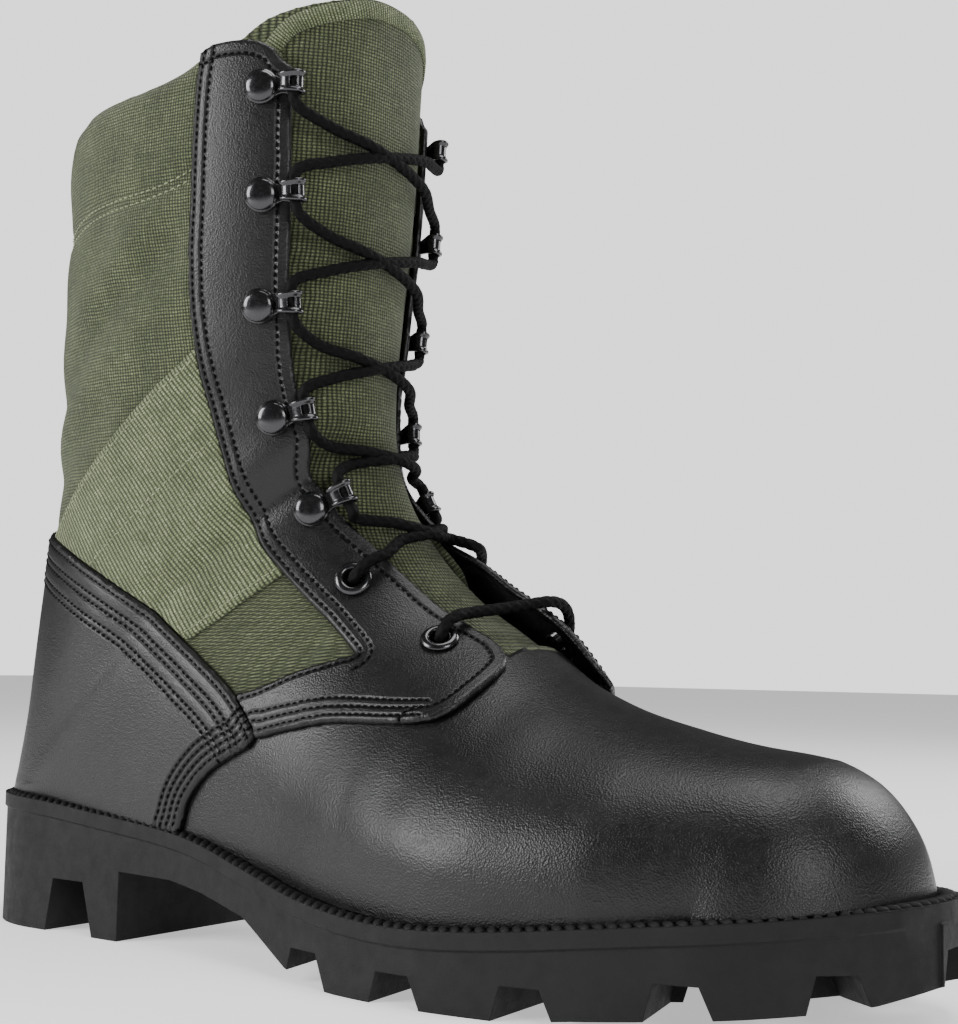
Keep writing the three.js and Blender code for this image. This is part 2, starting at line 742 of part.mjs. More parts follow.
// A channel cut from below: a trapezoid across the run, flared toward heel and toe by its two slopes
function channel({ x, y, angle, run, width, heelward, toeward, roof }) {
  const below = 2;
  const mouth = roof + below;
  const shape = polygon([
    [-width / 2 - toeward * mouth, -below],
    [width / 2 + heelward * mouth, -below],
    [width / 2, roof],
    [-width / 2, roof],
  ]);
  const inward = new THREE.Vector3(Math.cos(angle), Math.sin(angle), 0);
  const across = new THREE.Vector3(-inward.y, inward.x, 0);
  const start = new THREE.Vector3(x, y, 0).addScaledVector(inward, -beyond);
  return extruded(shape, run + beyond, [across, axisZ, across.clone().cross(axisZ)], start);
}

// How far the sides of the gaps and grooves lean for each millimetre of height
const lugSlope = 0.45;
const grooveSlope = 0.3;

// Gaps between the side lugs: where they open on the edge, how wide and long they are as shares of the
// gap width and the ball width, and how far they lean
const gapRows = [
  { at: 0.171, width: 1.35, depth: heelLugDepth, run: 0.224, lean: 0 },
  { at: 0.518, width: 1, depth: lugDepth, run: 0.28, lean: 0.12 },
  { at: 0.623, width: 1, depth: lugDepth, run: 0.28, lean: 0.12 },
  { at: 0.735, width: 1, depth: lugDepth, run: 0.29, lean: 0.06 },
  { at: 0.851, width: 1.05, depth: lugDepth, run: 0.262, lean: 0.25 },
  { at: 0.952, width: 1, depth: lugDepth, run: 0.224, lean: 0.75 },
];

function sideGap(row, side) {
  const x = row.at * soleLength;
  const slope = row.depth === heelLugDepth ? grooveSlope : lugSlope;
  return channel({
    x,
    y: planSide(x, side),
    angle: -side * (Math.PI / 2 + row.lean),
    run: row.run * ballWidth,
    width: row.width * gapWidth,
    heelward: side < 0 ? 0.6 * slope : slope,
    toeward: side < 0 ? slope : 0.6 * slope,
    roof: tread(row.at) + row.depth,
  });
}

// Chevron grooves between the two rows of side lugs
const chevronAt = [0.575, 0.68, 0.79];
const chevronRun = 0.215;
const chevronWidth = 0.6;
const chevronLean = Math.PI / 5;
const tipGap = { run: 0.15, width: 0.9 };

function chevronArm(at, side) {
  const x = at * soleLength;
  return channel({
    x: x + beyond * Math.sin(chevronLean),
    y: valueAt(planRows, at, "middle") * ballWidth - side * beyond * Math.cos(chevronLean),
    angle: side * (Math.PI / 2 + chevronLean),
    run: chevronRun * ballWidth,
    width: chevronWidth * gapWidth,
    heelward: grooveSlope,
    toeward: grooveSlope,
    roof: tread(at) + grooveDepth,
  });
}

function makeOutsole() {
  const bottom = [
    [0, 0],
    [breastAt * soleLength, 0],
    ...archRows.map((row) => [row.at * soleLength, row.height]),
    ...treadRows.map((row) => [row.at * soleLength, row.height]),
  ];
  const top = Array.from({ length: seatSteps + 1 }, (_, i) => {
    const x = soleLength * (1 - i / seatSteps);
    return [x, seat(x)];
  });
  const blank = fromSide(polygon([...bottom, ...top]), -ballWidth, ballWidth);
  const welt = fromAbove(planShape(0), -beyond, 2 * heelHeight).subtract(seatLine(-weltThickness, -beyond));
  const wall = fromAbove(planShape(weltStep), -beyond, 2 * heelHeight);
  const gaps = gapRows.flatMap((row) => [sideGap(row, -1), sideGap(row, 1)]);
  const tip = channel({
    x: soleLength,
    y: planSide(soleLength, 1),
    angle: Math.PI,
    run: tipGap.run * ballWidth,
    width: tipGap.width * gapWidth,
    heelward: grooveSlope,
    toeward: grooveSlope,
    roof: toeSpring + lugDepth,
  });
  const arms = chevronAt.flatMap((at) => [chevronArm(at, -1), chevronArm(at, 1)]);
  return [...gaps, tip, ...arms].reduce((sole, cut) => sole.subtract(cut), blank.intersect(welt.add(wall)));
}

// A speed hook: a plate under a domed rivet, turned up and back at its end to hold the lace
function makeHook(row, side) {
  const back = -0.9 * hookDome;
  const lip = 0.62 * hookReach;
  const profile = polygon([
    [back, 0],
    [hookReach - 3 * hookPlate, 0],
    [hookReach, 2 * hookPlate],
    [hookReach, hookRise - hookPlate],
    [hookReach - hookPlate, hookRise],
    [lip, hookRise],
    [lip, hookRise - hookPlate],
    [hookReach - hookPlate, hookRise - hookPlate],
    [hookReach - hookPlate, 2 * hookPlate],
    [hookReach - 3 * hookPlate, hookPlate],
    [back, hookPlate],
  ]);
  const start = new THREE.Vector3(0, hookWidth / 2, 0);
  const plate = extruded(profile, hookWidth, [axisX, axisZ, axisY.clone().negate()], start);
  const top = hookPlate + hookDomeRise;
  const dome = lathed(
    [
      [0, 0],
      [hookDome, 0],
      [hookDome, hookPlate + 0.35 * hookDomeRise],
      [0.5 * hookDome, hookPlate + 0.95 * hookDomeRise],
      [0, top],
    ],
    8,
  );
  return placed(plate.add(solidOf(dome)), fasteningFrame(row, side, hookSeat));
}

function makeEyelet(row, side) {
  const ring = lathed(
    [
      [eyeletHole, 0.2 - upperWall],
      [eyeletBarrel, 0.2 - upperWall],
      [eyeletBarrel, eyeletSeat],
      [eyeletFlange, eyeletSeat],
      [eyeletFlange, eyeletTop - 0.5 * eyeletRim],
      [0.78 * eyeletFlange, eyeletTop],
      [eyeletHole, eyeletTop - 0.4 * eyeletRim],
      [eyeletHole, 0.2 - upperWall],
    ],
    10,
  );
  return placed(solidOf(ring), fasteningFrame(row, side, 0));
}

// Where a lace leaves a fastening: beside a hook, or over the edge of the stay and on to the eyelet's rim
function laceExit(row, side, up) {
  if (row.hook) {
    const clear = hookWidth / 2 + fit + laceDiameter / 2;
    const beside = new THREE.Vector3(hookReach, -side * up * clear, hookSeat + hookRise / 2);
    return [beside.applyMatrix4(fasteningFrame(row, side, 0))];
  }
  const { at, turn } = fasteningSpot(row, side);
  let edge = turn;
  while (side * (skin(at, edge, side).y - throatEdge(skin(at, edge, side).z, side)) > 0) {
    edge -= side * 0.005;
  }
  const ride = eyeletTop + 3 * fit + laceDiameter / 2;
  return [0, 0.5, 1].map((share) => {
    const along = edge + (turn - edge) * share;
    return skin(at, along, side).addScaledVector(skinNormal(at, along, side), ride);
  });
}

function cordAlong(points, steps) {
  const sides = 6;
  const ring = Array.from({ length: sides }, (_, i) => {
    const angle = (2 * Math.PI * i) / sides;
    return [(laceDiameter / 2) * Math.cos(angle), (laceDiameter / 2) * Math.sin(angle)];
  });
  const path = new THREE.CatmullRomCurve3(points);
  return solidOf(new THREE.ExtrudeGeometry(polygon(ring), { steps, extrudePath: path }));
}

// A taut stretch between two points, lifted where the tongue bulges into its way
function tautBetween(start, end, spans) {
  return Array.from({ length: spans - 1 }, (_, i) => {
    const straight = start.clone().lerp(end, (i + 1) / spans);
    const { at, turn } = spotOnLast({ y: straight.y, z: straight.z });
    const normal = lastNormal(at, turn);
    const point = lastPoint(at, turn).addScaledVector(normal, laceRide);
    return normal.dot(straight.clone().sub(point)) > 0 ? straight : point;
  });
}

function laceRun(upper, lower, side) {
  const start = laceExit(upper, side, -1);
  const end = laceExit(lower, -side, 1);
  const middle = tautBetween(start[0], end[0], 5);
  return cordAlong([...start.slice(0, 1), ...middle, ...end], 8);
}

function makeCrossing(i) {
  const [upper, lower] = [fasteningRows[i], fasteningRows[i + 1]];
  return laceRun(upper, lower, -1).add(laceRun(upper, lower, 1));
}

function makeBar() {
  const row = fasteningRows[fasteningRows.length - 1];
  const start = laceExit(row, -1, 0);
  const end = laceExit(row, 1, 0);
  const middle = [1 / 3, 2 / 3].map((share) => start[0].clone().lerp(end[0], share));
  return cordAlong([...start.reverse(), ...middle, ...end], 12);
}

// Finishes
function finish(color, roughness, metalness = 0) {
  return new THREE.MeshStandardMaterial({ color, roughness, metalness });
}

const leather = finish(0x232324, 0.42);
const canvas = finish(0x56633f, 0.9);
const webbing = finish(0x7c8b64, 0.85);
const rubber = finish(0x29292a, 0.75);
const blackMetal = finish(0x2b2c2e, 0.3, 0.9);
const cord = finish(0x141415, 0.85);
const board = finish(0x4a4b46, 0.9);

const boot = new THREE.Group();

function addPiece(name, solid, material) {
  const mesh = solid.getMesh();
  const geometry = new THREE.BufferGeometry();
  geometry.setAttribute("position", new THREE.BufferAttribute(new Float32Array(mesh.vertProperties), 3));
  geometry.setIndex(new THREE.BufferAttribute(new Uint32Array(mesh.triVerts), 1));
  geometry.computeVertexNormals();
  const piece = new THREE.Mesh(geometry, material);
  piece.name = name;
  boot.add(piece);
}

addPiece("outsole", makeOutsole(), rubber);
addPiece("insole", makeInsole(), board);
addPiece("upper", makeUpper(), canvas);
addPiece("counter", makeCounter(), leather);
addPiece("tongue", makeTongue(), canvas);
for (const [side, name] of [
  [-1, "outer"],
  [1, "inner"],
]) {
  addPiece(`eyestay_${name}`, makeStay(side), leather);
  addPiece(`webbing_${name}`, makeWebbing(side), webbing);
  hookRows.forEach((row, i) => addPiece(`hook_${name}_${i + 1}`, makeHook(row, side), blackMetal));
  eyeletRows.forEach((row, i) => addPiece(`eyelet_${name}_${i + 1}`, makeEyelet(row, side), blackMetal));
}
hookRows.forEach((_, i) => addPiece(`lace_crossing_${i + 1}`, makeCrossing(i), cord));
addPiece("lace_bar", makeBar(), cord);

// The origin is under the middle of the whole boot, on the floor
boot.updateMatrixWorld(true);
const extent = new THREE.Box3().setFromObject(boot);
boot.position.set(-(extent.min.x + extent.max.x) / 2, -(extent.min.y + extent.max.y) / 2, -extent.min.z);

export default boot;
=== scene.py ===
import math

import bmesh
import bpy
import numpy as np
from mathutils import Matrix, Vector
from mathutils.bvhtree import BVHTree
from mathutils.kdtree import KDTree


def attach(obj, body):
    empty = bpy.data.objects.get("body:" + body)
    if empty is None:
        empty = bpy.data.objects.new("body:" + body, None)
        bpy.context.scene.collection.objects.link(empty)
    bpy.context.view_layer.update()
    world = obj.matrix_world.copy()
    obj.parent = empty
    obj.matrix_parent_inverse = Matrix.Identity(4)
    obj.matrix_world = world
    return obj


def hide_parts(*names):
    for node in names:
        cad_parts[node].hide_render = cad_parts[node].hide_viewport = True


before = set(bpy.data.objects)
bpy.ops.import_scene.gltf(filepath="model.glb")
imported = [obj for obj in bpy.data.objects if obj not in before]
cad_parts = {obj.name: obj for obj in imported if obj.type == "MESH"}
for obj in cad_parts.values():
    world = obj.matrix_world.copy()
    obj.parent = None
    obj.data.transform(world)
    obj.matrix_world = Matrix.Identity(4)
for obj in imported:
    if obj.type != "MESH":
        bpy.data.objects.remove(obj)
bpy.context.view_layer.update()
print("frame loaded")

# Shapes are worked out in millimetres with the heel's back at x 0, then moved into the frame.
toFrame = np.array([-156.5, 2.689, 0.0])

boot = {
    "length": 313.0,
    "ballWidth": 107.0,
    "heelWidth": 75.0,
    "heelHeight": 40.5,
    "ballHeight": 19.2,
    "toeHeight": 30.0,
    "instep": 95.0,
    "ankleWidth": 70.0,
    "shaftHeight": 272.0,
    "shaftWidth": 87.0,
    "wall": 2.2,
    "fit": 0.3,
}
length = boot["length"]
ballWidth = boot["ballWidth"]
shaftHeight = boot["shaftHeight"]
instep = boot["instep"]


# Tables and the last
def curveThrough(knots, values, at):
    knots = np.asarray(knots, float)
    values = np.asarray(values, float)
    at = np.clip(np.asarray(at, float), knots[0], knots[-1])
    before = np.maximum(np.arange(len(knots)) - 1, 0)
    after = np.minimum(np.arange(len(knots)) + 1, len(knots) - 1)
    slope = (values[after] - values[before]) / (knots[after] - knots[before])
    i = np.clip(np.searchsorted(knots, at, side="right") - 1, 0, len(knots) - 2)
    step = knots[i + 1] - knots[i]
    t = (at - knots[i]) / step
    ease = t * t * (3 - 2 * t)
    bend = t * (1 - t) ** 2 * slope[i] - t * t * (1 - t) * slope[i + 1]
    return values[i] * (1 - ease) + values[i + 1] * ease + step * bend


plan = {
    "at": [0.0, 0.2, 0.33, 0.42, 0.5, 0.57, 0.64, 0.71, 0.78, 0.845, 1.0],
    "middle": [0.0, 0.0, -0.033, -0.047, -0.051, -0.047, -0.036, -0.014, 0.005, 0.024, 0.08],
    "half": [0.3505, 0.3505, 0.327, 0.364, 0.425, 0.472, 0.497, 0.497, 0.474, 0.435, 0.39],
    "toeFrom": 0.845,
    "roundness": 2.05,
}


def planSide(x, side, margin=0.0):
    at = np.asarray(x, float) / length
    heelTo = boot["heelWidth"] / 2 / length
    toe = (at - plan["toeFrom"]) / (1 - plan["toeFrom"])
    end = np.clip(np.maximum(toe, (heelTo - at) / heelTo), 0, 1)
    roundPower = plan["roundness"]
    half = curveThrough(plan["at"], plan["half"], at) * ballWidth
    half = np.maximum(half * (1 - end**roundPower) ** (1 / roundPower) - margin, 0)
    return curveThrough(plan["at"], plan["middle"], at) * ballWidth + side * half


spring = boot["toeHeight"] - boot["ballHeight"]
seatAt = [0.0, 0.1, 0.2, 0.33, 0.43, 0.51, 0.6, 0.68, 0.8, 1.0]
seatHeights = [share * boot["heelHeight"] for share in (1, 0.985, 0.92, 0.81, 0.65)]
seatHeights += [boot["ballHeight"] + 0.06 * boot["heelHeight"], boot["ballHeight"]]
seatHeights += [boot["ballHeight"] + share * spring for share in (0.05, 0.4, 1)]


def seat(x):
    return curveThrough(seatAt, seatHeights, np.asarray(x, float) / length)


# Each section of the last runs from its back point to its front point: first toe, then foot, heel, shaft.
footRows = [
    # back, front, rise, half, middle, ridge, flat, belly, outer, inner
    (0.847, 0.847, 0.6737, 0.386, 0.026, 0.03, 0.93, 0.3, 2.3, 2.3),
    (0.783, 0.789, 0.711, 0.437, 0.005, 0.035, 0.93, 0.3, 2.1, 2.1),
    (0.71, 0.722, 0.768, 0.46, -0.012, 0.045, 0.93, 0.3, 1.95, 2.0),
    (0.64, 0.665, 0.842, 0.46, -0.03, 0.06, 0.93, 0.3, 1.85, 2.1),
    (0.57, 0.617, 0.94, 0.43, -0.04, 0.085, 0.93, 0.3, 1.78, 2.4),
    (0.5, 0.578, 1.02, 0.388, -0.042, 0.1, 0.92, 0.3, 1.76, 2.6),
    (0.42, 0.543, 1.1, 0.341, -0.037, 0.105, 0.9, 0.32, 1.82, 2.5),
]
heelRows = [
    (0.33, 0.514, 1.195, 0.48, -0.043, 0.145, 0.9, 0.35, 1.9, 2.4),
    (0.24, 0.492, 1.295, 0.49, -0.015, 0.115, 0.9, 0.37, 1.9, 2.3),
    (0.15, 0.478, 1.4, 0.495, 0, 0.07, 0.86, 0.38, 1.9, 2.2),
    (0.068, 0.47, 1.5, 0.5, 0, 0.03, 0.7, 0.4, 1.9, 2.2),
    (0.029, 0.465, 1.59, 0.49, 0, 0.015, 0.4, 0.42, 1.9, 2.25),
]
shaftRows = [
    # back, low, front, high, half, belly, square
    (0.019, 0.2, 0.462, 0.585, 0.405, 0.42, 2.3),
    (0.026, 0.285, 0.46, 0.618, 0.403, 0.44, 2.35),
    (0.038, 0.382, 0.4585, 0.655, 0.41, 0.46, 2.4),
    (0.052, 0.478, 0.4585, 0.695, 0.436, 0.47, 2.4),
    (0.052, 0.58, 0.46, 0.743, 0.457, 0.48, 2.4),
    (0.056, 0.69, 0.463, 0.8, 0.478, 0.49, 2.4),
    (0.058, 0.8, 0.466, 0.868, 0.49, 0.5, 2.4),
    (0.063, 0.905, 0.468, 0.941, 0.496, 0.5, 2.4),
    (0.072, 1.0, 0.47, 1.01, 0.5, 0.5, 2.4),
    (0.078, 1.1, 0.4715, 1.1, 0.505, 0.5, 2.4),
    (0.08, 1.18, 0.4725, 1.18, 0.507, 0.5, 2.4),
]
toeFan = 5
columns = [
    "backX", "backZ", "frontX", "frontZ", "half", "middle", "ridge", "belly", "flat", "low", "outer",
    "inner"
]


def footSection(row, width):
    back, front, rise, half, middle, ridge, flat, belly, outer, inner = row
    backX = back * length
    start = [backX, float(seat(backX)) - 8, front * length, rise * instep]
    return start + [half * width, middle * width, ridge * width, belly, flat, 2.3, outer, inner]


def shaftSection(row):
    back, low, front, high, half, belly, square = row
    start = [back * length, low * shaftHeight, front * length, high * shaftHeight]
    return start + [half * boot["shaftWidth"], 0, 0, belly, 0, 2.1, square, square]


def toeSection(step, first):
    turn, share = math.pi / 2 * step / toeFan, step / toeFan
    reach = length - 5.5 - first[0]
    rise = first[3] - first[1]
    spread = (math.cos(turn) / reach) ** 2.5 + (math.sin(turn) / rise) ** 2.5
    radius = spread ** (-1 / 2.5)
    made = list(first)
    made[2] = first[0] + radius * math.cos(turn)
    made[3] = first[1] + radius * math.sin(turn)
    made[4] = first[4] * 0.985
    for column, toeValue in ((6, 0.075 * ballWidth), (8, 1.0), (10, 2.15), (11, 2.15)):
        made[column] = toeValue + (first[column] - toeValue) * share
    made[7] = first[7] * share * share
    return made


firstFoot = footSection(footRows[0], ballWidth)
sectionList = [toeSection(step, firstFoot) for step in range(toeFan)]
sectionList += [footSection(row, ballWidth) for row in footRows]
sectionList += [footSection(row, boot["ankleWidth"]) for row in heelRows]
sectionList += [shaftSection(row) for row in shaftRows]
sections = {name: [row[i] for row in sectionList] for i, name in enumerate(columns)}
lastSection = len(sectionList) - 1
sectionAt = np.arange(lastSection + 1.0)


# Past a turn of 1 the two sides close on each other at the back of the heel.
seamSpan = 0.03


def lastPoint(at, turn):
    at, turn = np.broadcast_arrays(np.asarray(at, float), np.asarray(turn, float))
    get = {name: curveThrough(sectionAt, values, at) for name, values in sections.items()}
    side = np.where(turn < 0, -1.0, 1.0)
    quarter = 2 * (1 - np.minimum(np.abs(turn), 1))
    under = quarter < 1
    angle = math.pi / 2 * np.where(under, quarter, quarter - 1)
    power = 2 / np.where(under, get["low"], np.where(side < 0, get["outer"], get["inner"]))
    cosine = np.clip(np.cos(angle), 0, 1) ** power
    sine = np.clip(np.sin(angle), 0, 1) ** power
    belly, flat = get["belly"], get["flat"]
    share = np.where(under, belly * (1 - cosine), belly + (1 - belly) * sine)
    wide = np.where(under, flat + (1 - flat) * sine, cosine)
    lean = np.where(under, 0, np.sin(angle) ** 2)
    middle = get["middle"] + (get["ridge"] - get["middle"]) * lean
    halfY = side * get["half"] * wide
    beyondEdge = np.clip((np.abs(turn) - 1) / seamSpan, 0, 1)
    x = get["backX"] + (get["frontX"] - get["backX"]) * share
    z = get["backZ"] + (get["frontZ"] - get["backZ"]) * share
    return np.stack([x, middle + halfY * (1 - beyondEdge), z], axis=-1)


def lastNormal(at, turn):
    at, turn = np.broadcast_arrays(np.asarray(at, float), np.asarray(turn, float))
    small = 0.004
    inside = np.clip(turn, -1 + small, 1 - small)
    across = lastPoint(at, inside + small) - lastPoint(at, inside - small)
    along = lastPoint(np.minimum(at + small, lastSection), inside)
    along = along - lastPoint(np.maximum(at - small, 0), inside)
    normal = np.cross(across, along)
    normal /= np.maximum(np.linalg.norm(normal, axis=-1, keepdims=True), 1e-9)
    nearSeam = np.clip((np.abs(turn) - 0.96) / 0.04, 0, 1)[..., None] * (at > 14.5)[..., None]
    flatNormal = normal * np.array([1.0, 0.0, 1.0])
    normal = normal * (1 - nearSeam) + flatNormal * nearSeam
    return normal / np.maximum(np.linalg.norm(normal, axis=-1, keepdims=True), 1e-9)


flareShape = {
    "at": [7.6, 8.3, 9.2, 10.5, 11.6, 12.8],
    "lift": [0, 0.45, 1, 1, 0.85, 0],
    "height": 5.0,
    "edge": 0.21,
    "root": 0.38,
}


def flare(at, turn):
    y = lastPoint(at, turn)[..., 1] / ballWidth
    share = np.clip((flareShape["root"] - y) / (flareShape["root"] - flareShape["edge"]), 0, 1)
    lift = curveThrough(flareShape["at"], flareShape["lift"], at) * flareShape["height"]
    return np.where(np.asarray(turn) > 0.5, 0, lift * share * (2 - share))


def skin(at, turn, lift, side=0):
    raised = lift + (flare(at, turn) if side > 0 else 0)
    return lastPoint(at, turn) + lastNormal(at, turn) * np.asarray(raised)[..., None]


# Outlines
def onShaft(along, height):
    return (along * length, height * shaftHeight)


def onFoot(along, height):
    return (along * length, height * instep)


def smoothRun(points, spacing=1.5):
    points = np.array(points, float)
    if len(points) < 3:
        return points
    padded = np.vstack([2 * points[0] - points[1], points, 2 * points[-1] - points[-2]])
    made = []
    for i in range(1, len(padded) - 2):
        a, b, c, d = padded[i - 1 : i + 3]
        steps = max(2, int(np.linalg.norm(c - b) / spacing))
        for t in np.arange(steps) / steps:
            mixed = 2 * b + (c - a) * t + (2 * a - 5 * b + 4 * c - d) * t * t
            made.append((mixed + (3 * b - a - 3 * c + d) * t**3) / 2)
    return np.array(made + [points[-1]])


def distanceTo(points, line):
    flat = points.reshape(-1, 2)
    best = np.full(len(flat), 1e9)
    for a, b in zip(line[:-1], line[1:]):
        edge = b - a
        t = np.clip((flat - a) @ edge / max(edge @ edge, 1e-9), 0, 1)
        best = np.minimum(best, np.hypot(*(flat - a - t[:, None] * edge).T))
    return best.reshape(points.shape[:-1])


def insideLoop(points, loop):
    flat = points.reshape(-1, 2)
    closed = np.vstack([loop, loop[:1]])
    inside = np.zeros(len(flat), bool)
    for a, b in zip(closed[:-1], closed[1:]):
        crosses = (a[1] > flat[:, 1]) != (b[1] > flat[:, 1])
        if abs(b[1] - a[1]) < 1e-12:
            continue
        cut = a[0] + (flat[:, 1] - a[1]) * (b[0] - a[0]) / (b[1] - a[1])
        inside ^= crosses & (flat[:, 0] < cut)
    inside = inside.reshape(points.shape[:-1])
    return np.where(inside, 1, -1) * distanceTo(points, closed)


collarLine = smoothRun(
    [
        onShaft(-0.1, 0.924),
        onShaft(0.07, 0.928),
        onShaft(0.17, 0.941),
        onShaft(0.26, 0.946),
        onShaft(0.31, 0.956),
        onShaft(0.345, 0.973),
        onShaft(0.39, 0.978),
        onShaft(0.412, 0.966),
        onShaft(0.425, 0.95),
        onShaft(0.6, 0.95),
    ]
)
throatRows = [
    # outer, inner, wall, height
    (-0.305, 0.305, 0.305, 1.01 * shaftHeight),
    (-0.3, 0.3, 0.3, 0.882 * shaftHeight),
    (-0.28, 0.28, 0.28, 0.754 * shaftHeight),
    (-0.257, 0.257, 0.257, 0.665 * shaftHeight),
    (-0.215, 0.224, 0.224, 0.57 * shaftHeight),
    (-0.155, 0.192, 0.21, 1.38 * instep),
    (-0.075, 0.185, 0.29, 1.2 * instep),
    (-0.037, 0.21, 0.32, 1.0 * instep),
    (-0.037, 0.224, 0.32, 0.6 * instep),
]
throatHeights = [-row[3] for row in throatRows]
throatEnd = 0.616 * length
throatWiden = 0.505 * length


def throatEdge(z, side):
    column = 0 if side < 0 else 1
    return curveThrough(throatHeights, [row[column] for row in throatRows], -np.asarray(z)) * ballWidth


def throatLoop(column):
    outer = smoothRun([(row[0] * ballWidth, row[3]) for row in throatRows])
    inner = smoothRun([(row[column] * ballWidth, row[3]) for row in throatRows])
    return np.vstack([outer, inner[::-1]])


stayBack = smoothRun(
    [
        onFoot(0.498, 0.905),
        onFoot(0.459, 1.01),
        onFoot(0.415, 1.13),
        onFoot(0.376, 1.284),
        onShaft(0.342, 0.559),
        onShaft(0.323, 0.684),
        onShaft(0.327, 0.809),
        onShaft(0.331, 0.915),
        onShaft(0.337, 0.971),
    ]
)
stayTop = smoothRun(
    [
        onShaft(0.337, 0.971),
        onShaft(0.355, 0.979),
        onShaft(0.388, 0.979),
        onShaft(0.408, 0.969),
        onShaft(0.42, 0.951),
        onShaft(0.48, 0.9),
    ]
)
bandUpper = smoothRun(
    [onFoot(0.376, 0.775), onFoot(0.41, 0.802), onFoot(0.446, 0.851), onFoot(0.498, 0.905)]
)
bandLower = smoothRun(
    [
        onFoot(0.588, 0.7205), onFoot(0.56, 0.715), onFoot(0.495, 0.709), onFoot(0.44, 0.672),
        onFoot(0.4, 0.64)
    ]
)
lobes = {
    -1: smoothRun(
        [
            onFoot(0.58, 1.2), onFoot(0.616, 1), onFoot(0.627, 0.9), onFoot(0.6275, 0.83),
            onFoot(0.619, 0.765), onFoot(0.606, 0.733), onFoot(0.588, 0.7205)
        ]
    ),
    1: smoothRun(
        [
            onFoot(0.61, 1.2), onFoot(0.645, 1.03), onFoot(0.66, 0.93), onFoot(0.662, 0.84),
            onFoot(0.645, 0.765), onFoot(0.62, 0.732), onFoot(0.588, 0.7205)
        ]
    ),
}
counterTop = smoothRun(
    [
        onFoot(-0.05, 1.36),
        onFoot(0.03, 1.35),
        onFoot(0.11, 1.275),
        onFoot(0.2, 1.15),
        onFoot(0.268, 1.035),
        onFoot(0.33, 0.897),
        onFoot(0.378, 0.79),
        onFoot(0.416, 0.668),
    ]
)
counterFront = smoothRun(
    [
        onFoot(0.416, 0.668), onFoot(0.406, 0.625), onFoot(0.362, 0.551), onFoot(0.334, 0.46),
        onFoot(0.322, 0.36)
    ]
)
counterLoop = np.vstack([counterTop, counterFront[1:], [onFoot(0.31, 0.1), onFoot(-0.05, 0.1)]])
webbingUpper = smoothRun(
    [
        onShaft(0.4, 0.72), onShaft(0.322, 0.645), onShaft(0.266, 0.601), onShaft(0.19, 0.536),
        onShaft(0.08, 0.44)
    ]
)
webbingLower = smoothRun(
    [
        onFoot(0.08, 1.05), onFoot(0.25, 0.84), onFoot(0.3, 0.918), onFoot(0.343, 1.0),
        onFoot(0.379, 1.082), onFoot(0.47, 1.3)
    ]
)
webbingLoop = np.vstack([webbingUpper, webbingLower])
stayRegion = np.vstack([stayBack, [onShaft(0.6, 1), onFoot(0.6, 0.9)]])


# Meshes
def newObject(name, vertices, faces, material, smooth=True):
    mesh = bpy.data.meshes.new(name)
    places = (np.asarray(vertices, float) + toFrame) * 0.001
    mesh.from_pydata(places.tolist(), [], [list(map(int, face)) for face in faces])
    mesh.validate()
    mesh.update()
    if smooth:
        mesh.shade_smooth()
    for one in material if isinstance(material, list) else [material]:
        mesh.materials.append(one)
    made = bpy.data.objects.new(name, mesh)
    bpy.context.scene.collection.objects.link(made)
    return made


def setFloats(made, name, values):
    attribute = made.data.attributes.new(name, "FLOAT", "POINT")
    attribute.data.foreach_set("value", np.asarray(values, np.float32))


def setUv(made, pairs):
    layer = made.data.uv_layers.new(name="cloth")
    corner = np.zeros(len(made.data.loops), int)
    made.data.loops.foreach_get("vertex_index", corner)
    layer.data.foreach_set("uv", np.asarray(pairs, np.float32)[corner].ravel())


def clippedGrid(ats, turns, insideOf):
    at, turn = np.meshgrid(ats, turns, indexing="ij")
    field = insideOf(at, turn)
    field = np.where(np.abs(field) < 0.12, 0.12, field)
    number = -np.ones(field.shape, int)
    keep = field > 0
    number[keep] = np.arange(keep.sum())
    params = np.stack([at[keep], turn[keep]], axis=1).tolist()
    corners = [keep[:-1, :-1], keep[1:, :-1], keep[1:, 1:], keep[:-1, 1:]]
    full = corners[0] & corners[1] & corners[2] & corners[3]
    some = (corners[0] | corners[1] | corners[2] | corners[3]) & ~full
    i, j = np.nonzero(full)
    quads = [number[i, j], number[i + 1, j], number[i + 1, j + 1], number[i, j + 1]]
    polys = np.stack(quads, axis=1).tolist()
    cuts = {}

    def cutBetween(a, b):
        key = (a, b) if a < b else (b, a)
        if key not in cuts:
            t = field[a] / (field[a] - field[b])
            cuts[key] = len(params)
            params.append([at[a] + (at[b] - at[a]) * t, turn[a] + (turn[b] - turn[a]) * t])
        return cuts[key]

    for i, j in zip(*np.nonzero(some)):
        ring = [(i, j), (i + 1, j), (i + 1, j + 1), (i, j + 1)]
        poly = []
        for a, b in zip(ring, ring[1:] + ring[:1]):
            if keep[a]:
                poly.append(number[a])
            if keep[a] != keep[b]:
                poly.append(cutBetween(a, b))
        if len(poly) > 2:
            polys.append(poly)
    return np.array(params), polys


def openEdges(polys):
    seen = {}
    for poly in polys:
        for a, b in zip(poly, list(poly[1:]) + [poly[0]]):
            if (b, a) in seen:
                del seen[(b, a)]
            else:
                seen[(a, b)] = True
    return list(seen)


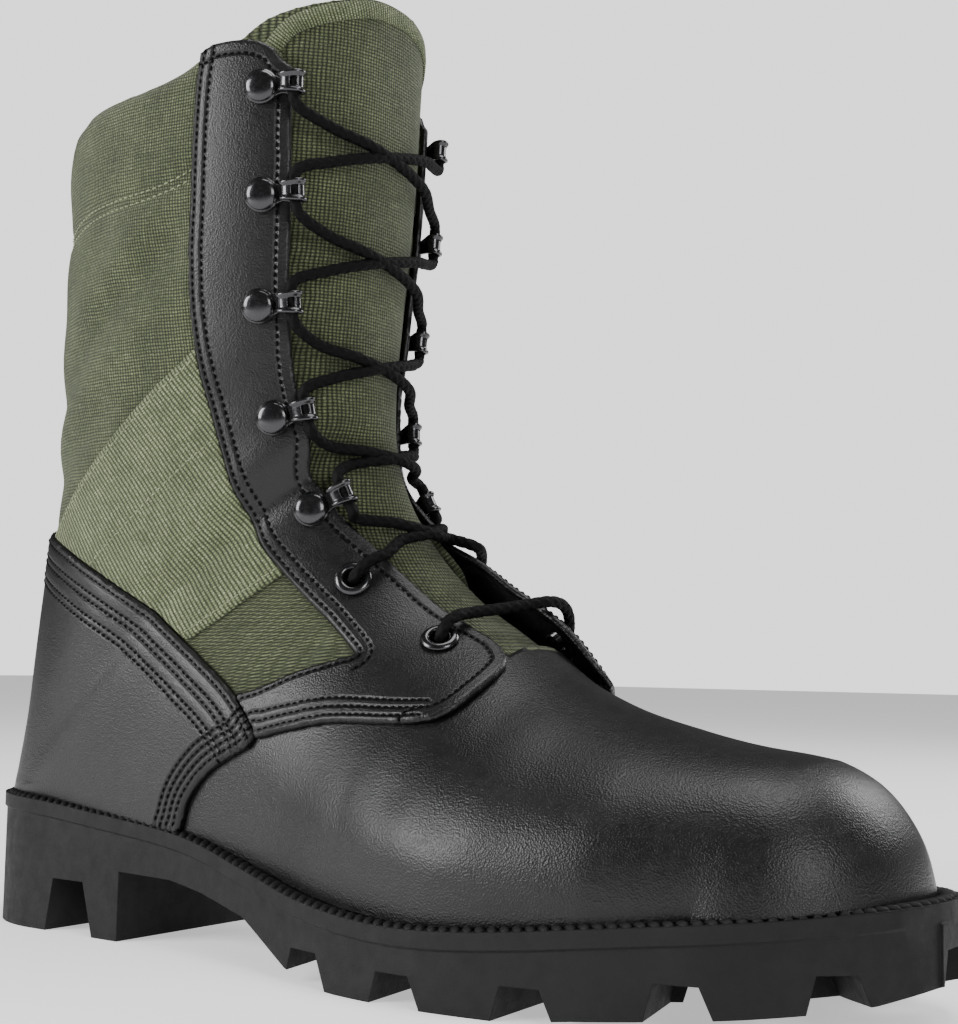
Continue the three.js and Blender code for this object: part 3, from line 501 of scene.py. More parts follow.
def makeShell(name, params, polys, outerLift, innerLift, material, side=0):
    outer = skin(params[:, 0], params[:, 1], outerLift, side)
    inner = skin(params[:, 0], params[:, 1], innerLift, side)
    count = len(outer)
    a, b, c = (outer[[poly[k] for poly in polys]] for k in (0, 1, 2))
    normals = lastNormal(params[:, 0], params[:, 1])[[poly[0] for poly in polys]]
    if (np.einsum("ij,ij->i", np.cross(b - a, c - a), normals)).sum() < 0:
        polys = [poly[::-1] for poly in polys]
    faces = [list(poly) for poly in polys]
    faces += [[k + count for k in reversed(poly)] for poly in polys]
    faces += [[b, a, a + count, b + count] for a, b in openEdges(polys)]
    made = newObject(name, np.vstack([outer, inner]), faces, material)
    return made, outer


def refine(made, merge=0.0, outward=True):
    work = bmesh.new()
    work.from_mesh(made.data)
    if merge:
        bmesh.ops.remove_doubles(work, verts=work.verts, dist=merge)
    if outward:
        bmesh.ops.recalc_face_normals(work, faces=work.faces)
    work.to_mesh(made.data)
    work.free()
    made.data.update()


def finishPiece(made, slotName, *nodes):
    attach(made, "root")
    if nodes:
        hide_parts(*nodes)
    return made


def easeRegion(made, inRegion, rounds=10):
    work = bmesh.new()
    work.from_mesh(made.data)
    chosen = []
    for vertex in work.verts:
        x, y, z = np.array(vertex.co) * 1000 - toFrame
        if inRegion(x, y, z) and not any(
            len(edge.link_faces) == 1 or edge.calc_face_angle(0) > 0.9 for edge in vertex.link_edges
        ):
            chosen.append(vertex)
    for _ in range(rounds):
        bmesh.ops.smooth_vert(
            work, verts=chosen, factor=0.5, use_axis_x=True, use_axis_y=True, use_axis_z=True
        )
    work.to_mesh(made.data)
    work.free()


def besideEdge(distance, rise=1.4):
    share = np.clip(distance / rise, 0, 1)
    return np.sqrt(np.clip(1 - (1 - share) ** 2, 0, 1))


# Materials
def newMaterial(name):
    material = bpy.data.materials.new(name)
    material.use_nodes = True
    tree = material.node_tree
    return material, tree, tree.nodes["Principled BSDF"]


def setInputs(tree, node, inputs):
    for key, value in inputs.items():
        if isinstance(value, bpy.types.NodeSocket):
            tree.links.new(value, node.inputs[key])
        elif value is not None:
            node.inputs[key].default_value = value


def addNode(tree, kind, inputs, **settings):
    node = tree.nodes.new("ShaderNode" + kind)
    for key, value in settings.items():
        setattr(node, key, value)
    setInputs(tree, node, inputs)
    return node


def mathNode(tree, operation, a, b=None, c=None, clamp=False):
    inputs = {0: a, 1: b, 2: c}
    return addNode(tree, "Math", inputs, operation=operation, use_clamp=clamp).outputs[0]


def weighted(tree, *parts):
    one, two = (mathNode(tree, "MULTIPLY", value, weight) for value, weight in parts)
    return mathNode(tree, "ADD", one, two)


def mapRange(tree, value, low, high, toLow, toHigh):
    inputs = {"Value": value, "From Min": low, "From Max": high, "To Min": toLow, "To Max": toHigh}
    return addNode(tree, "MapRange", inputs).outputs["Result"]


def millimetres(tree):
    place = addNode(tree, "TexCoord", {}).outputs["Object"]
    return addNode(tree, "VectorMath", {0: place, "Scale": 1000}, operation="SCALE").outputs[0]


def stretched(tree, vector, scale, rotation=(0, 0, 0)):
    return addNode(tree, "Mapping", {"Vector": vector, "Rotation": rotation, "Scale": scale}).outputs[0]


def noise(tree, vector, scale, detail=2.0, rough=0.5):
    inputs = {"Vector": vector, "Scale": scale, "Detail": detail, "Roughness": rough}
    return addNode(tree, "TexNoise", inputs).outputs["Fac"]


def cells(tree, vector, scale):
    return addNode(tree, "TexVoronoi", {"Vector": vector, "Scale": scale}).outputs["Distance"]


def blendColors(tree, share, first, second):
    first, second = ((*color, 1) if isinstance(color, tuple) else color for color in (first, second))
    inputs = {"Factor": share, "A": first, "B": second}
    return addNode(tree, "Mix", inputs, data_type="RGBA").outputs["Result"]


def addBump(tree, shader, heights, under=None):
    for height, strength, distance in heights:  # distance in millimetres
        inputs = {"Strength": strength, "Distance": distance * 0.001, "Height": height, "Normal": under}
        under = addNode(tree, "Bump", inputs).outputs["Normal"]
    tree.links.new(under, shader.inputs["Normal"])


def readFloat(tree, name):
    return addNode(tree, "Attribute", {}, attribute_name=name).outputs["Fac"]


def clothPlace(tree, place, swayScale, most):
    # where a point is on the cloth in millimetres, whole and split, and how far the yarns sway there
    flat = addNode(tree, "UVMap", {}, uv_map="cloth").outputs["UV"]
    split = addNode(tree, "SeparateXYZ", {0: flat}).outputs
    sway = mathNode(tree, "SUBTRACT", noise(tree, place, swayScale, 2), 0.5)
    return flat, split[0], split[1], mathNode(tree, "MULTIPLY", sway, most)


def seamGroove(tree, seams):
    # the mask is 1 on each stitch row; makeLeather uses it for the groove's dip and for painted shade in
    # the groove
    groove = None
    for attribute, places in seams:
        distance = readFloat(tree, attribute)
        for place in places:
            away = mathNode(tree, "ABSOLUTE", mathNode(tree, "SUBTRACT", distance, place))
            one = mapRange(tree, away, 0, 0.9, 1, 0)
            groove = one if groove is None else mathNode(tree, "MAXIMUM", groove, one)
    return groove


leatherLook = {
    "dark": (0.0028, 0.0028, 0.003),
    "light": (0.0075, 0.0074, 0.0073),
    "edge": (0.0016, 0.0016, 0.0016),
    "edgeWidth": 0.9,
    "roughness": (0.31, 0.43),
    "grainSize": 1.9,
    "poreSize": 4.5,
    "coat": 0.08,
}


def makeLeather(name, seams=(), look=leatherLook):
    material, tree, shader = newMaterial(name)
    place = millimetres(tree)
    broad = noise(tree, place, 0.03, 3)
    middle = noise(tree, place, 0.3, 3, 0.6)
    grain = cells(tree, place, look["grainSize"])
    pores = noise(tree, place, look["poreSize"], 2, 0.6)
    tilted = stretched(tree, place, (0.45, 1.0, 1.3), (0.3, 0.9, 0.4))
    wrinkle = noise(tree, tilted, 0.75, 4, 0.6)
    tone = mapRange(tree, weighted(tree, (broad, 0.6), (middle, 0.4)), 0.35, 0.65, 0, 1)
    color = blendColors(tree, tone, look["dark"], look["light"])
    sheen = weighted(tree, (middle, 0.6), (pores, 0.4))
    heights = [(wrinkle, 0.3, 0.3), (grain, 0.7, 0.14), (pores, 0.4, 0.06)]
    groove = seamGroove(tree, seams)
    if groove is not None:
        heights.insert(0, (mathNode(tree, "SUBTRACT", 1, groove), 0.8, 0.55))
        # painted shade: along the stitch grooves the colour is drawn half way to the dark edge colour
        color = blendColors(tree, mathNode(tree, "MULTIPLY", groove, 0.5), color, look["edge"])
        rim = mapRange(tree, readFloat(tree, "rim"), look["edgeWidth"] * 0.5, look["edgeWidth"], 1, 0)
        color = blendColors(tree, rim, color, look["edge"])
    addBump(tree, shader, heights)
    finish = {
        "Base Color": color,
        "Roughness": mapRange(tree, sheen, 0.3, 0.7, *look["roughness"]),
        "Specular IOR Level": 0.36,
        "Coat Weight": look["coat"],
        "Coat Roughness": 0.3,
    }
    setInputs(tree, shader, finish)
    return material


def makeCloth(name, look):
    material, tree, shader = newMaterial(name)
    place = millimetres(tree)
    cloth = clothPlace(tree, place, look["swayScale"], look["sway"])
    height, tone = look["build"](tree, look, place, *cloth)
    # painted shade and highlight: the build's tone blends from the dark colour in the weave's gaps to the
    # light colour on the yarn crowns
    color = blendColors(tree, tone, look["dark"], look["light"])
    fleck = noise(tree, place, look["fleckSize"], 2, 0.7)
    # painted highlight, partly real mottle: pale flecks from noise, laid only where the tone is light, on
    # the yarn crowns
    fleckAndCrownHighlight = mathNode(tree, "MULTIPLY", mapRange(tree, fleck, *look["fleckRange"]), tone)
    heights = [(height, 0.9, look["depth"]), (fleck, 0.3, look["fleckDepth"])]
    if look["folds"]:
        heights.insert(0, (noise(tree, place, 0.045, 2), 0.3, look["folds"]))
    addBump(tree, shader, heights)
    finish = {
        "Base Color": blendColors(tree, fleckAndCrownHighlight, color, look["fleck"]),
        "Roughness": look["roughness"],
        "Sheen Weight": look["sheen"],
        "Sheen Roughness": 0.5,
        "Specular IOR Level": 0.25,
    }
    setInputs(tree, shader, finish)
    return material


def wovenYarns(tree, look, place, flat, across, up, sway):
    # yarns that go over and under each other; the tone it returns is painted shade in the gaps between
    # the yarns and painted highlight on their crowns, times the yarns' real slub and patch tone
    waves = []
    for at in (across, up):
        turned = mathNode(tree, "MULTIPLY", mathNode(tree, "ADD", at, sway), math.pi / look["yarn"])
        waves.append(mathNode(tree, "SINE", turned))
    over = mathNode(tree, "GREATER_THAN", mathNode(tree, "MULTIPLY", *waves), 0)
    one, two = (mathNode(tree, "ABSOLUTE", wave) for wave in waves)
    yarns = []
    for yarn, other in ((one, two), (two, one)):
        lean = mathNode(tree, "MULTIPLY_ADD", other, look["lean"], 1 - look["lean"])
        yarns.append(mathNode(tree, "MULTIPLY", mathNode(tree, "POWER", yarn, 0.6), lean))
    under = mathNode(tree, "MULTIPLY", mathNode(tree, "SUBTRACT", 1, over), yarns[1])
    height = mathNode(tree, "ADD", mathNode(tree, "MULTIPLY", over, yarns[0]), under)
    grains = [stretched(tree, flat, scale) for scale in ((0.12, 1.6, 1), (1.6, 0.12, 1))]
    slubs = [noise(tree, grain, 1.0, 2) for grain in grains]
    patch = mathNode(tree, "MULTIPLY", noise(tree, place, 0.06, 3), 0.5)
    yarnTone = mathNode(tree, "MULTIPLY_ADD", mathNode(tree, "ADD", *slubs), 0.6, patch)
    # painted shade and highlight: the colour tone follows the yarn height, dark where the yarns dip and
    # light on their crowns
    tone = mathNode(
        tree, "MULTIPLY", height, mapRange(tree, yarnTone, 0.5, 1.2, 0.55, 1.15), clamp=True
    )
    return height, mathNode(tree, "POWER", tone, 2.3)


def ribbedYarns(tree, look, place, flat, across, up, sway):
    # ribs run across the tape; each is broken into short raised dashes, painted bright, set off from its
    # neighbours'. The tone it returns is painted shade between the ribs and dashes and painted highlight
    # on their tops, times a real patchy tone
    rib = mathNode(tree, "DIVIDE", mathNode(tree, "ADD", across, sway), look["pitch"])
    inRib = mathNode(
        tree, "ABSOLUTE", mathNode(tree, "MULTIPLY_ADD", mathNode(tree, "FRACT", rib), 2, -1)
    )
    arch = mathNode(tree, "POWER", mathNode(tree, "SUBTRACT", 1, inRib, clamp=True), 0.5)
    odd = mathNode(tree, "FLOORED_MODULO", mathNode(tree, "FLOOR", rib), 2)
    offset = mathNode(tree, "MULTIPLY", odd, 0.5)
    dashAt = mathNode(tree, "ADD", mathNode(tree, "DIVIDE", up, look["dash"]), offset)
    wave = mathNode(tree, "SINE", mathNode(tree, "MULTIPLY", dashAt, math.pi))
    dash = mathNode(tree, "POWER", mathNode(tree, "ABSOLUTE", wave), 0.6)
    height = mathNode(tree, "MULTIPLY", arch, mathNode(tree, "MULTIPLY_ADD", dash, 0.5, 0.5))
    patch = mapRange(tree, noise(tree, place, 0.12, 3), 0.3, 0.7, 0.7, 1.1)
    # painted shade and highlight: the colour tone follows the rib height, dark in the grooves and light
    # on the dashes
    return height, mathNode(tree, "MULTIPLY", mathNode(tree, "POWER", height, 1.9), patch, clamp=True)


def makeRubber(name):
    material, tree, shader = newMaterial(name)
    place = millimetres(tree)
    broad = noise(tree, place, 0.03, 4, 0.6)
    fine = noise(tree, place, 2.2, 3, 0.6)
    scuff = noise(tree, place, 0.22, 5, 0.7)
    tone = mapRange(tree, weighted(tree, (broad, 0.5), (scuff, 0.5)), 0.35, 0.65, 0, 1)
    rounded = addNode(tree, "Bevel", {"Radius": 0.0005}, samples=4).outputs[0]
    addBump(tree, shader, [(scuff, 0.3, 0.35), (fine, 0.5, 0.14)], rounded)
    finish = {
        "Base Color": blendColors(tree, tone, (0.003, 0.003, 0.003), (0.0075, 0.0075, 0.0075)),
        "Roughness": mapRange(tree, scuff, 0.3, 0.7, 0.55, 0.78),
        "Specular IOR Level": 0.28,
    }
    setInputs(tree, shader, finish)
    return material


def makeEnamel(name):
    material, tree, shader = newMaterial(name)
    place = millimetres(tree)
    wear = noise(tree, place, 0.8, 4, 0.6)
    addBump(tree, shader, [(wear, 0.15, 0.12)])
    finish = {
        "Base Color": (0.035, 0.035, 0.038, 1),
        "Metallic": 0.85,
        "Roughness": mapRange(tree, wear, 0.3, 0.7, 0.14, 0.34),
        "Coat Weight": 0.6,
        "Coat Roughness": 0.12,
    }
    setInputs(tree, shader, finish)
    return material


def makeThread(name, color, roughness=0.75):
    material, tree, shader = newMaterial(name)
    place = millimetres(tree)
    twist = noise(tree, place, 3.0, 2)
    dark = tuple(channel * 0.55 for channel in color)
    color = blendColors(tree, mapRange(tree, twist, 0.35, 0.65, 0, 1), dark, color)
    setInputs(tree, shader, {"Base Color": color, "Roughness": roughness, "Specular IOR Level": 0.12})
    addBump(tree, shader, [(twist, 0.4, 0.15)])
    return material


# the cloth's olive is spread from dark, painted shade in the gaps of the weave, to light and fleck,
# painted highlight on the yarn crowns
canvasLook = {
    "build": wovenYarns,
    "yarn": 1.0,
    "lean": 0.45,
    "swayScale": 0.12,
    "sway": 0.9,
    "dark": (0.006, 0.0085, 0.0035),
    "light": (0.16, 0.19, 0.092),
    "fleck": (0.36, 0.4, 0.24),
    "fleckSize": 1.3,
    "fleckRange": (0.5, 0.75, 0, 0.6),
    "fleckDepth": 0.12,
    "depth": 0.34,
    "folds": 3.0,
    "roughness": 0.88,
    "sheen": 0.12,
}
# dark is painted shade between the ribs; light and fleck are painted highlight on the rib tops
ribLook = {
    "build": ribbedYarns,
    "pitch": 1.35,
    "dash": 0.8,
    "swayScale": 0.2,
    "sway": 0.5,
    "dark": (0.01, 0.014, 0.006),
    "light": (0.22, 0.265, 0.13),
    "fleck": (0.5, 0.55, 0.35),
    "fleckSize": 1.6,
    "fleckRange": (0.48, 0.7, 0, 0.85),
    "fleckDepth": 0.1,
    "depth": 0.4,
    "folds": 0,
    "roughness": 0.85,
    "sheen": 0.1,
}
canvas = makeCloth("canvas", canvasLook)
ribbed = makeCloth("ribbedTape", ribLook)
rubber = makeRubber("soleRubber")
enamel = makeEnamel("blackEnamel")
blackThread = makeThread("blackThread", (0.0022, 0.0022, 0.0022), 0.75)
paleThread = makeThread("paleThread", (0.3, 0.34, 0.21))
print("materials made")


# Stitches
stitchLook = {"pitch": 2.25, "length": 1.85, "radius": 0.28, "rise": 0.16, "dip": 0.34}


def surfaceTree(made):
    mesh = made.data
    points = np.zeros(len(mesh.vertices) * 3)
    mesh.vertices.foreach_get("co", points)
    points = points.reshape(-1, 3) * 1000 - toFrame
    return BVHTree.FromPolygons(points.tolist(), [list(face.vertices) for face in mesh.polygons])


def castOnto(tree, line, side, away=120.0):
    made = []
    for x, z in line:
        hit, normal, _, _ = tree.ray_cast(Vector((x, side * away, z)), Vector((0, -side, 0)))
        if hit is not None:
            if normal.dot(Vector((0, -side, 0))) > 0:
                normal = -normal
            made.append((np.array(hit), np.array(normal)))
    return made


def nearnessTo(points, edgePoints):
    tree = KDTree(len(edgePoints))
    for i, p in enumerate(edgePoints):
        tree.insert(p, i)
    tree.balance()
    return np.array([tree.find(p)[2] for p in points])


def contourTracks(params, points, polys, values, level):
    # the lines on a surface where a field has one value, as points with normals
    padded = np.array([list(poly) + [poly[-1]] * (6 - len(poly)) for poly in polys])
    low, high = values[padded].min(axis=1), values[padded].max(axis=1)
    crossing, places, ats, links = {}, [], [], {}
    for k in np.nonzero((low <= level) & (high > level) & (high < 60))[0]:
        poly = polys[k]
        cut = []
        for a, b in zip(poly, list(poly[1:]) + [poly[0]]):
            if (values[a] > level) == (values[b] > level):
                continue
            key = (a, b) if a < b else (b, a)
            if key not in crossing:
                t = (level - values[a]) / (values[b] - values[a])
                crossing[key] = len(places)
                places.append(points[a] + (points[b] - points[a]) * t)
                ats.append(params[a] + (params[b] - params[a]) * t)
            cut.append(crossing[key])
        for one, two in zip(cut[::2], cut[1::2]):
            links.setdefault(one, []).append(two)
            links.setdefault(two, []).append(one)
    if not places:
        return []
    places, ats = np.array(places), np.array(ats)
    normals = lastNormal(ats[:, 0], ats[:, 1])
    unused, tracks = set(links), []
    for start in [k for k in links if len(links[k]) == 1] + list(links):
        if start not in unused:
            continue
        line = [start]
        unused.discard(start)
        while True:
            following = [k for k in links[line[-1]] if k in unused]
            if not following:
                break
            line.append(following[0])
            unused.discard(following[0])
        if len(line) > 6:
            tracks.append([(places[k], normals[k]) for k in line])
    return tracks


def stitchesAlong(track, pitch, vertices, faces, look=stitchLook):
    if len(track) < 3:
        return
    points = np.array([p for p, _ in track])
    normals = np.array([n for _, n in track])
    steps = np.linalg.norm(np.diff(points, axis=0), axis=1)
    keep = np.concatenate([[True], (steps > 1e-4)])
    points, normals = points[keep], normals[keep]
    gone = np.concatenate([[0], np.cumsum(np.linalg.norm(np.diff(points, axis=0), axis=1))])
    half = look["length"] / 2
    places = np.arange(half + 0.4, gone[-1] - half, pitch)
    rings, around = 5, 6
    for place in places:
        p = np.array([np.interp(place, gone, points[:, k]) for k in range(3)])
        n = np.array([np.interp(place, gone, normals[:, k]) for k in range(3)])
        ahead = np.array([np.interp(place + half, gone, points[:, k]) for k in range(3)])
        behind = np.array([np.interp(place - half, gone, points[:, k]) for k in range(3)])
        t = ahead - behind
        t /= max(np.linalg.norm(t), 1e-9)
        n = n - t * (n @ t)
        n /= max(np.linalg.norm(n), 1e-9)
        b = np.cross(n, t)
        base = len(vertices)
        for k in range(rings):
            s = -1 + 2 * k / (rings - 1)
            swell = math.sqrt(max(1 - (s * 0.93) ** 2, 0)) * look["radius"]
            centre = p + t * s * half + n * (look["rise"] - look["dip"] * s * s)
            for q in range(around):
                angle = 2 * math.pi * q / around
                vertices.append(centre + (b * math.cos(angle) + n * math.sin(angle)) * swell)
        for k in range(rings - 1):
            for q in range(around):
                r = (q + 1) % around
                faces.append(
                    (
                        base + k * around + q, base + k * around + r, base + (k + 1) * around + r,
                        base + (k + 1) * around + q
                    )
                )
        faces.append(tuple(base + q for q in reversed(range(around))))
        faces.append(tuple(base + (rings - 1) * around + q for q in range(around)))


def stitchPiece(name, tracks, material, slotName, pitch=stitchLook["pitch"]):
    vertices, faces = [], []
    for track in tracks:
        stitchesAlong(track, pitch, vertices, faces)
    return finishPiece(newObject(name, vertices, faces, material), slotName)


# Upper
upperShape = {
    "rows": 250,
    "columns": 236,
    "collarBand": 30.0,
    "collarFullness": 0.9,
    "seamRows": [1.8, 4.6],
    "seamPitch": 2.5,
    "seamDepth": 0.9,
    "seamWidth": 1.9,
    "seamBelow": 3.2,
    "creases": [
        # x and z of both ends, width, depth
        (20, 160, 92, 205, 7.0, 1.3),
        (24, 140, 60, 160, 6.0, 0.8),
        (30, 226, 60, 214, 9.0, 0.9),
        (62, 190, 98, 214, 5.0, 0.6),
    ],
    "vampCreases": [
        (196, 79, 188, 52, 7.0, 0.5),
        (206, 74, 202, 46, 6.0, 0.4),
    ],
}
upperThroat = throatLoop(2)


def collarHeight(x):
    return np.interp(x, collarLine[:, 0], collarLine[:, 1])


def upperField(at, turn):
    p = skin(at, turn, -0.6)
    x, y, z = p[..., 0], p[..., 1], p[..., 2]
    field = np.minimum(collarHeight(x) - z, z - seat(x) - boot["fit"])
    beyond = x - throatEnd
    narrow = np.maximum(-insideLoop(p[..., 1:], throatLoop(1)), beyond)
    wide = np.maximum(-insideLoop(p[..., 1:], upperThroat), np.maximum(beyond, throatWiden - x))
    front = np.minimum(narrow, wide)
    return np.minimum(field, np.where(np.abs(turn) < 0.5, front, 50))


def creaseLift(x, z, creases):
    lift = np.zeros_like(x)
    for x0, z0, x1, z1, width, depth in creases:
        away = distanceTo(np.stack([x, z], axis=-1), np.array([[x0, z0], [x1, z1]], float))
        lift -= depth * np.exp(-((away / width) ** 2))
        lift += 0.45 * depth * np.exp(-(((away - 1.9 * width) / width) ** 2))
    return lift


def horizontalRun(at, turn):
    # how far round the leg a point is from the back seam, and its height
    made = np.zeros((len(at), 2))
    fine = np.linspace(0, 1, 90)
    levels = np.linspace(at.min(), at.max(), 90)
    for sign in (-1, 1):
        grid = lastPoint(levels[:, None], sign * (1 - fine[None, :]))
        step = np.hypot(np.diff(grid[..., 0], axis=1), np.diff(grid[..., 1], axis=1))
        run = np.concatenate([np.zeros((len(levels), 1)), np.cumsum(step, axis=1)], axis=1)
        chosen = np.nonzero((turn * sign > 0) | ((turn == 0) & (sign > 0)))[0]
        level = np.interp(at[chosen], levels, np.arange(len(levels)))
        low = np.minimum(level.astype(int), len(levels) - 2)
        part = level - low
        place = np.clip(1 - np.abs(turn[chosen]), 0, 1) * (len(fine) - 1)
        near = np.minimum(place.astype(int), len(fine) - 2)
        rest = place - near
        for row, weight in ((low, 1 - part), (low + 1, part)):
            value = run[row, near] * (1 - rest) + run[row, near + 1] * rest
            made[chosen, 0] += sign * weight * value
    made[:, 1] = lastPoint(at, turn)[:, 2]
    return made


leatherVamp = makeLeather("vampLeather")
ats = np.linspace(0, lastSection, upperShape["rows"])
turns = np.linspace(-1 - seamSpan, 1 + seamSpan, upperShape["columns"])
params, polys = clippedGrid(ats, turns, upperField)
base = skin(params[:, 0], params[:, 1], 0)
below = collarHeight(base[:, 0]) - base[:, 2]
band = upperShape["collarBand"]
onCollar = np.clip((band - below) / 2.5, 0, 1) * np.clip(below / 3, 0, 1)
lift = upperShape["collarFullness"] * onCollar * (
    0.6 + 0.4 * np.sin(np.clip(below / band, 0, 1) * math.pi)
)
fromSeam = (below - band - upperShape["seamBelow"]) / upperShape["seamWidth"]
lift -= upperShape["seamDepth"] * np.exp(-(fromSeam**2))
onSides = np.clip((np.abs(base[:, 1]) - 12) / 10, 0, 1)
lift += creaseLift(base[:, 0], base[:, 2], upperShape["creases"]) * np.clip(
    (base[:, 2] - 110) / 20, 0, 1
)
lift += creaseLift(base[:, 0], base[:, 2], upperShape["vampCreases"]) * onSides * (base[:, 0] > 170)
lift -= 1.0 * (1 - besideEdge(below, 1.6)) * (below < 1.6)
upper, _ = makeShell("upperCloth", params, polys, lift, -boot["wall"], [canvas, leatherVamp])
runs = horizontalRun(params[:, 0], params[:, 1])
setUv(upper, np.vstack([runs, runs]))
bandMiddle = np.vstack(
    [
        smoothRun([onFoot(0.376, 0.74), onFoot(0.446, 0.79), onFoot(0.56, 0.83), onFoot(0.63, 0.95)]),
        [[throatEnd - 1, 140]]
    ]
)
middles = np.zeros(len(upper.data.polygons) * 3)
upper.data.polygons.foreach_get("center", middles)
middles = middles.reshape(-1, 3) * 1000 - toFrame
vampLoop = np.vstack([bandMiddle, [[320, 140], [320, 0], [60, 0], [60, 55], [110, 60]]])
isVamp = (insideLoop(middles[:, [0, 2]], vampLoop) > 0) & ~(
    (middles[:, 0] < throatEnd - 1) & (middles[:, 2] > 92)
)
upper.data.polygons.foreach_set("material_index", isVamp.astype(np.int32))
refine(upper, merge=0.00002, outward=False)
easeRegion(upper, lambda x, y, z: 245 < x < 282 and z < 70, 50)
finishPiece(upper, "canvas", "upper")
print("upper made")

upperTree = surfaceTree(upper)
seamTracks = []
for side in (-1, 1):
    for row in upperShape["seamRows"]:
        line = np.array([(x, collarHeight(x) - band - row) for x in np.arange(22, 102.5, 1.0)])
        seamTracks.append(castOnto(upperTree, line, side))
stitchPiece("collarStitches", seamTracks, paleThread, "canvas", upperShape["seamPitch"])


# Counter
counterShape = {
    "lift": 0.3,
    "thickness": 2.4,
    "padding": 0.35,
    "paddingRows": [4.4, 11],
    "paddingWidth": 1.5,
    "topRows": [2.2, 6.6, 8.8, 13.2, 15.4],
    "frontRows": [2.4, 4.8, 7.2, 9.6],
}


def sideView(p):
    return p[..., [0, 2]]


def counterField(at, turn):
    p = skin(at, turn, 1.5)
    return np.minimum(insideLoop(sideView(p), counterLoop), p[..., 2] - seat(p[..., 0]) - boot["fit"])


leatherCounter = makeLeather(
    "counterLeather", [("topEdge", counterShape["topRows"]), ("frontEdge", counterShape["frontRows"])]
)
ats = np.linspace(7, 21.5, 210)
turns = np.concatenate([np.linspace(-1 - seamSpan, -0.36, 130), np.linspace(0.36, 1 + seamSpan, 130)])
made = []
for part in (turns[:130], turns[130:]):
    made.append(clippedGrid(ats, part, counterField))
shift = len(made[0][0])
params = np.vstack([made[0][0], made[1][0]])
polys = list(made[0][1]) + [[k + shift for k in poly] for poly in made[1][1]]
base = skin(params[:, 0], params[:, 1], counterShape["lift"] + counterShape["thickness"])
edgePoints = base[sorted({k for pair in openEdges(polys) for k in pair})]
flatEdge = sideView(edgePoints)
topDistance = nearnessTo(base, edgePoints[distanceTo(flatEdge, counterTop) < 0.8])
frontDistance = nearnessTo(base, edgePoints[distanceTo(flatEdge, counterFront) < 0.8])
edge = np.minimum(topDistance, frontDistance)
swells = [(topDistance - row) / counterShape["paddingWidth"] for row in counterShape["paddingRows"]]
padding = counterShape["padding"] * (sum(np.exp(-(swell**2)) for swell in swells) - 1)
thick = counterShape["thickness"] * (0.55 + 0.45 * besideEdge(edge, 1.2)) + padding
counter, outer = makeShell(
    "counterCover", params, polys, counterShape["lift"] + thick, counterShape["lift"], leatherCounter
)
for attribute, values in (("topEdge", topDistance), ("frontEdge", frontDistance), ("rim", edge)):
    setFloats(counter, attribute, np.concatenate([values, values]))
easeRegion(counter, lambda x, y, z: x < 62 and 44 < z < 96, 40)
finishPiece(counter, "leather", "counter")
tracks = []
for values, rows in (
    (topDistance, counterShape["topRows"]), (frontDistance, counterShape["frontRows"])
):
    for row in rows:
        tracks += contourTracks(params, outer, polys, values, row)
stitchPiece("counterStitches", tracks, blackThread, "leather")
print("counter made")


# Eyelet stays
stayShape = {
    "lift": 0.3,
    "thickness": 2.0,
    "backRows": [1.9],
    "secondRows": [5.0],
    "frontRows": [4.2],
    "padding": 0.12,
    "paddingRow": 3.45,
    "paddingWidth": 1.1,
    "corner": 9.0,
    "bandRows": [2.0, 4.6, 7.2],
}
stayThroat = throatLoop(1)
eyeletHeight = 1.122 * instep
fastenings = [
    # height, hook, place outside and inside, rise inside, lean; hooks' places are shares of their dome
    (0.875, True, 0.61, 0.82, 0, 0),
    (0.682, True, 0.57, 0.82, 0, 0.04),
    (0.487, True, 0.6, 0.95, 0, 0.05),
    (0.29, True, 0.6, 0.75, 0, 0.18),
    (0.128, True, 0.59, 0.85, 0, 0.42),
    (0, False, 0.468, 0.49, -0.03, 0),
    (0, False, 0.562, 0.585, 0, 0),
]
eyeletHeights = {5: eyeletHeight, 6: 0.934 * instep}
hookDome = 5.4


def spotOnLast(side, y=None, x=None, z=None):
    lowTurn, highTurn = (-0.5, 0.0) if side < 0 else (0.0, 0.5)
    if side == 0:
        lowTurn, highTurn = -0.5, 0.5
    at, turn, reachAt, reachTurn, steps = 16.0, (lowTurn + highTurn) / 2, 11.0, (
        highTurn - lowTurn
    ) / 2, 61
    for _ in range(9):
        atGrid, turnGrid = np.meshgrid(
            np.clip(np.linspace(at - reachAt, at + reachAt, steps), toeFan, lastSection),
            np.clip(np.linspace(turn - reachTurn, turn + reachTurn, steps), lowTurn, highTurn),
            indexing="ij",
        )
        p = lastPoint(atGrid, turnGrid)
        miss = (p[..., 2] - z) ** 2 + ((p[..., 1] - y) ** 2 if x is None else (p[..., 0] - x) ** 2)
        best = np.unravel_index(np.argmin(miss), miss.shape)
        at, turn = atGrid[best], turnGrid[best]
        reachAt, reachTurn, steps = reachAt * 0.2, reachTurn * 0.2, 21
    return float(at), float(turn)


def skinNormal(at, turn, side):
    across = skin(at, turn + 0.002, 0, side) - skin(at, turn - 0.002, 0, side)
    along = skin(at + 0.02, turn, 0, side) - skin(at - 0.02, turn, 0, side)
    normal = np.cross(across, along)
    return normal / np.linalg.norm(normal)


def fasteningSpot(row, side):
    height, isHook, outerPlace, innerPlace, rise, _ = fastenings[row]
    place = outerPlace if side < 0 else innerPlace
    if isHook:
        z = eyeletHeight + height * (shaftHeight - eyeletHeight)
        return spotOnLast(side, y=float(throatEdge(z, side)) + side * place * hookDome, z=z)
    return spotOnLast(side, x=place * length, z=eyeletHeights[row] + (rise * instep if side > 0 else 0))


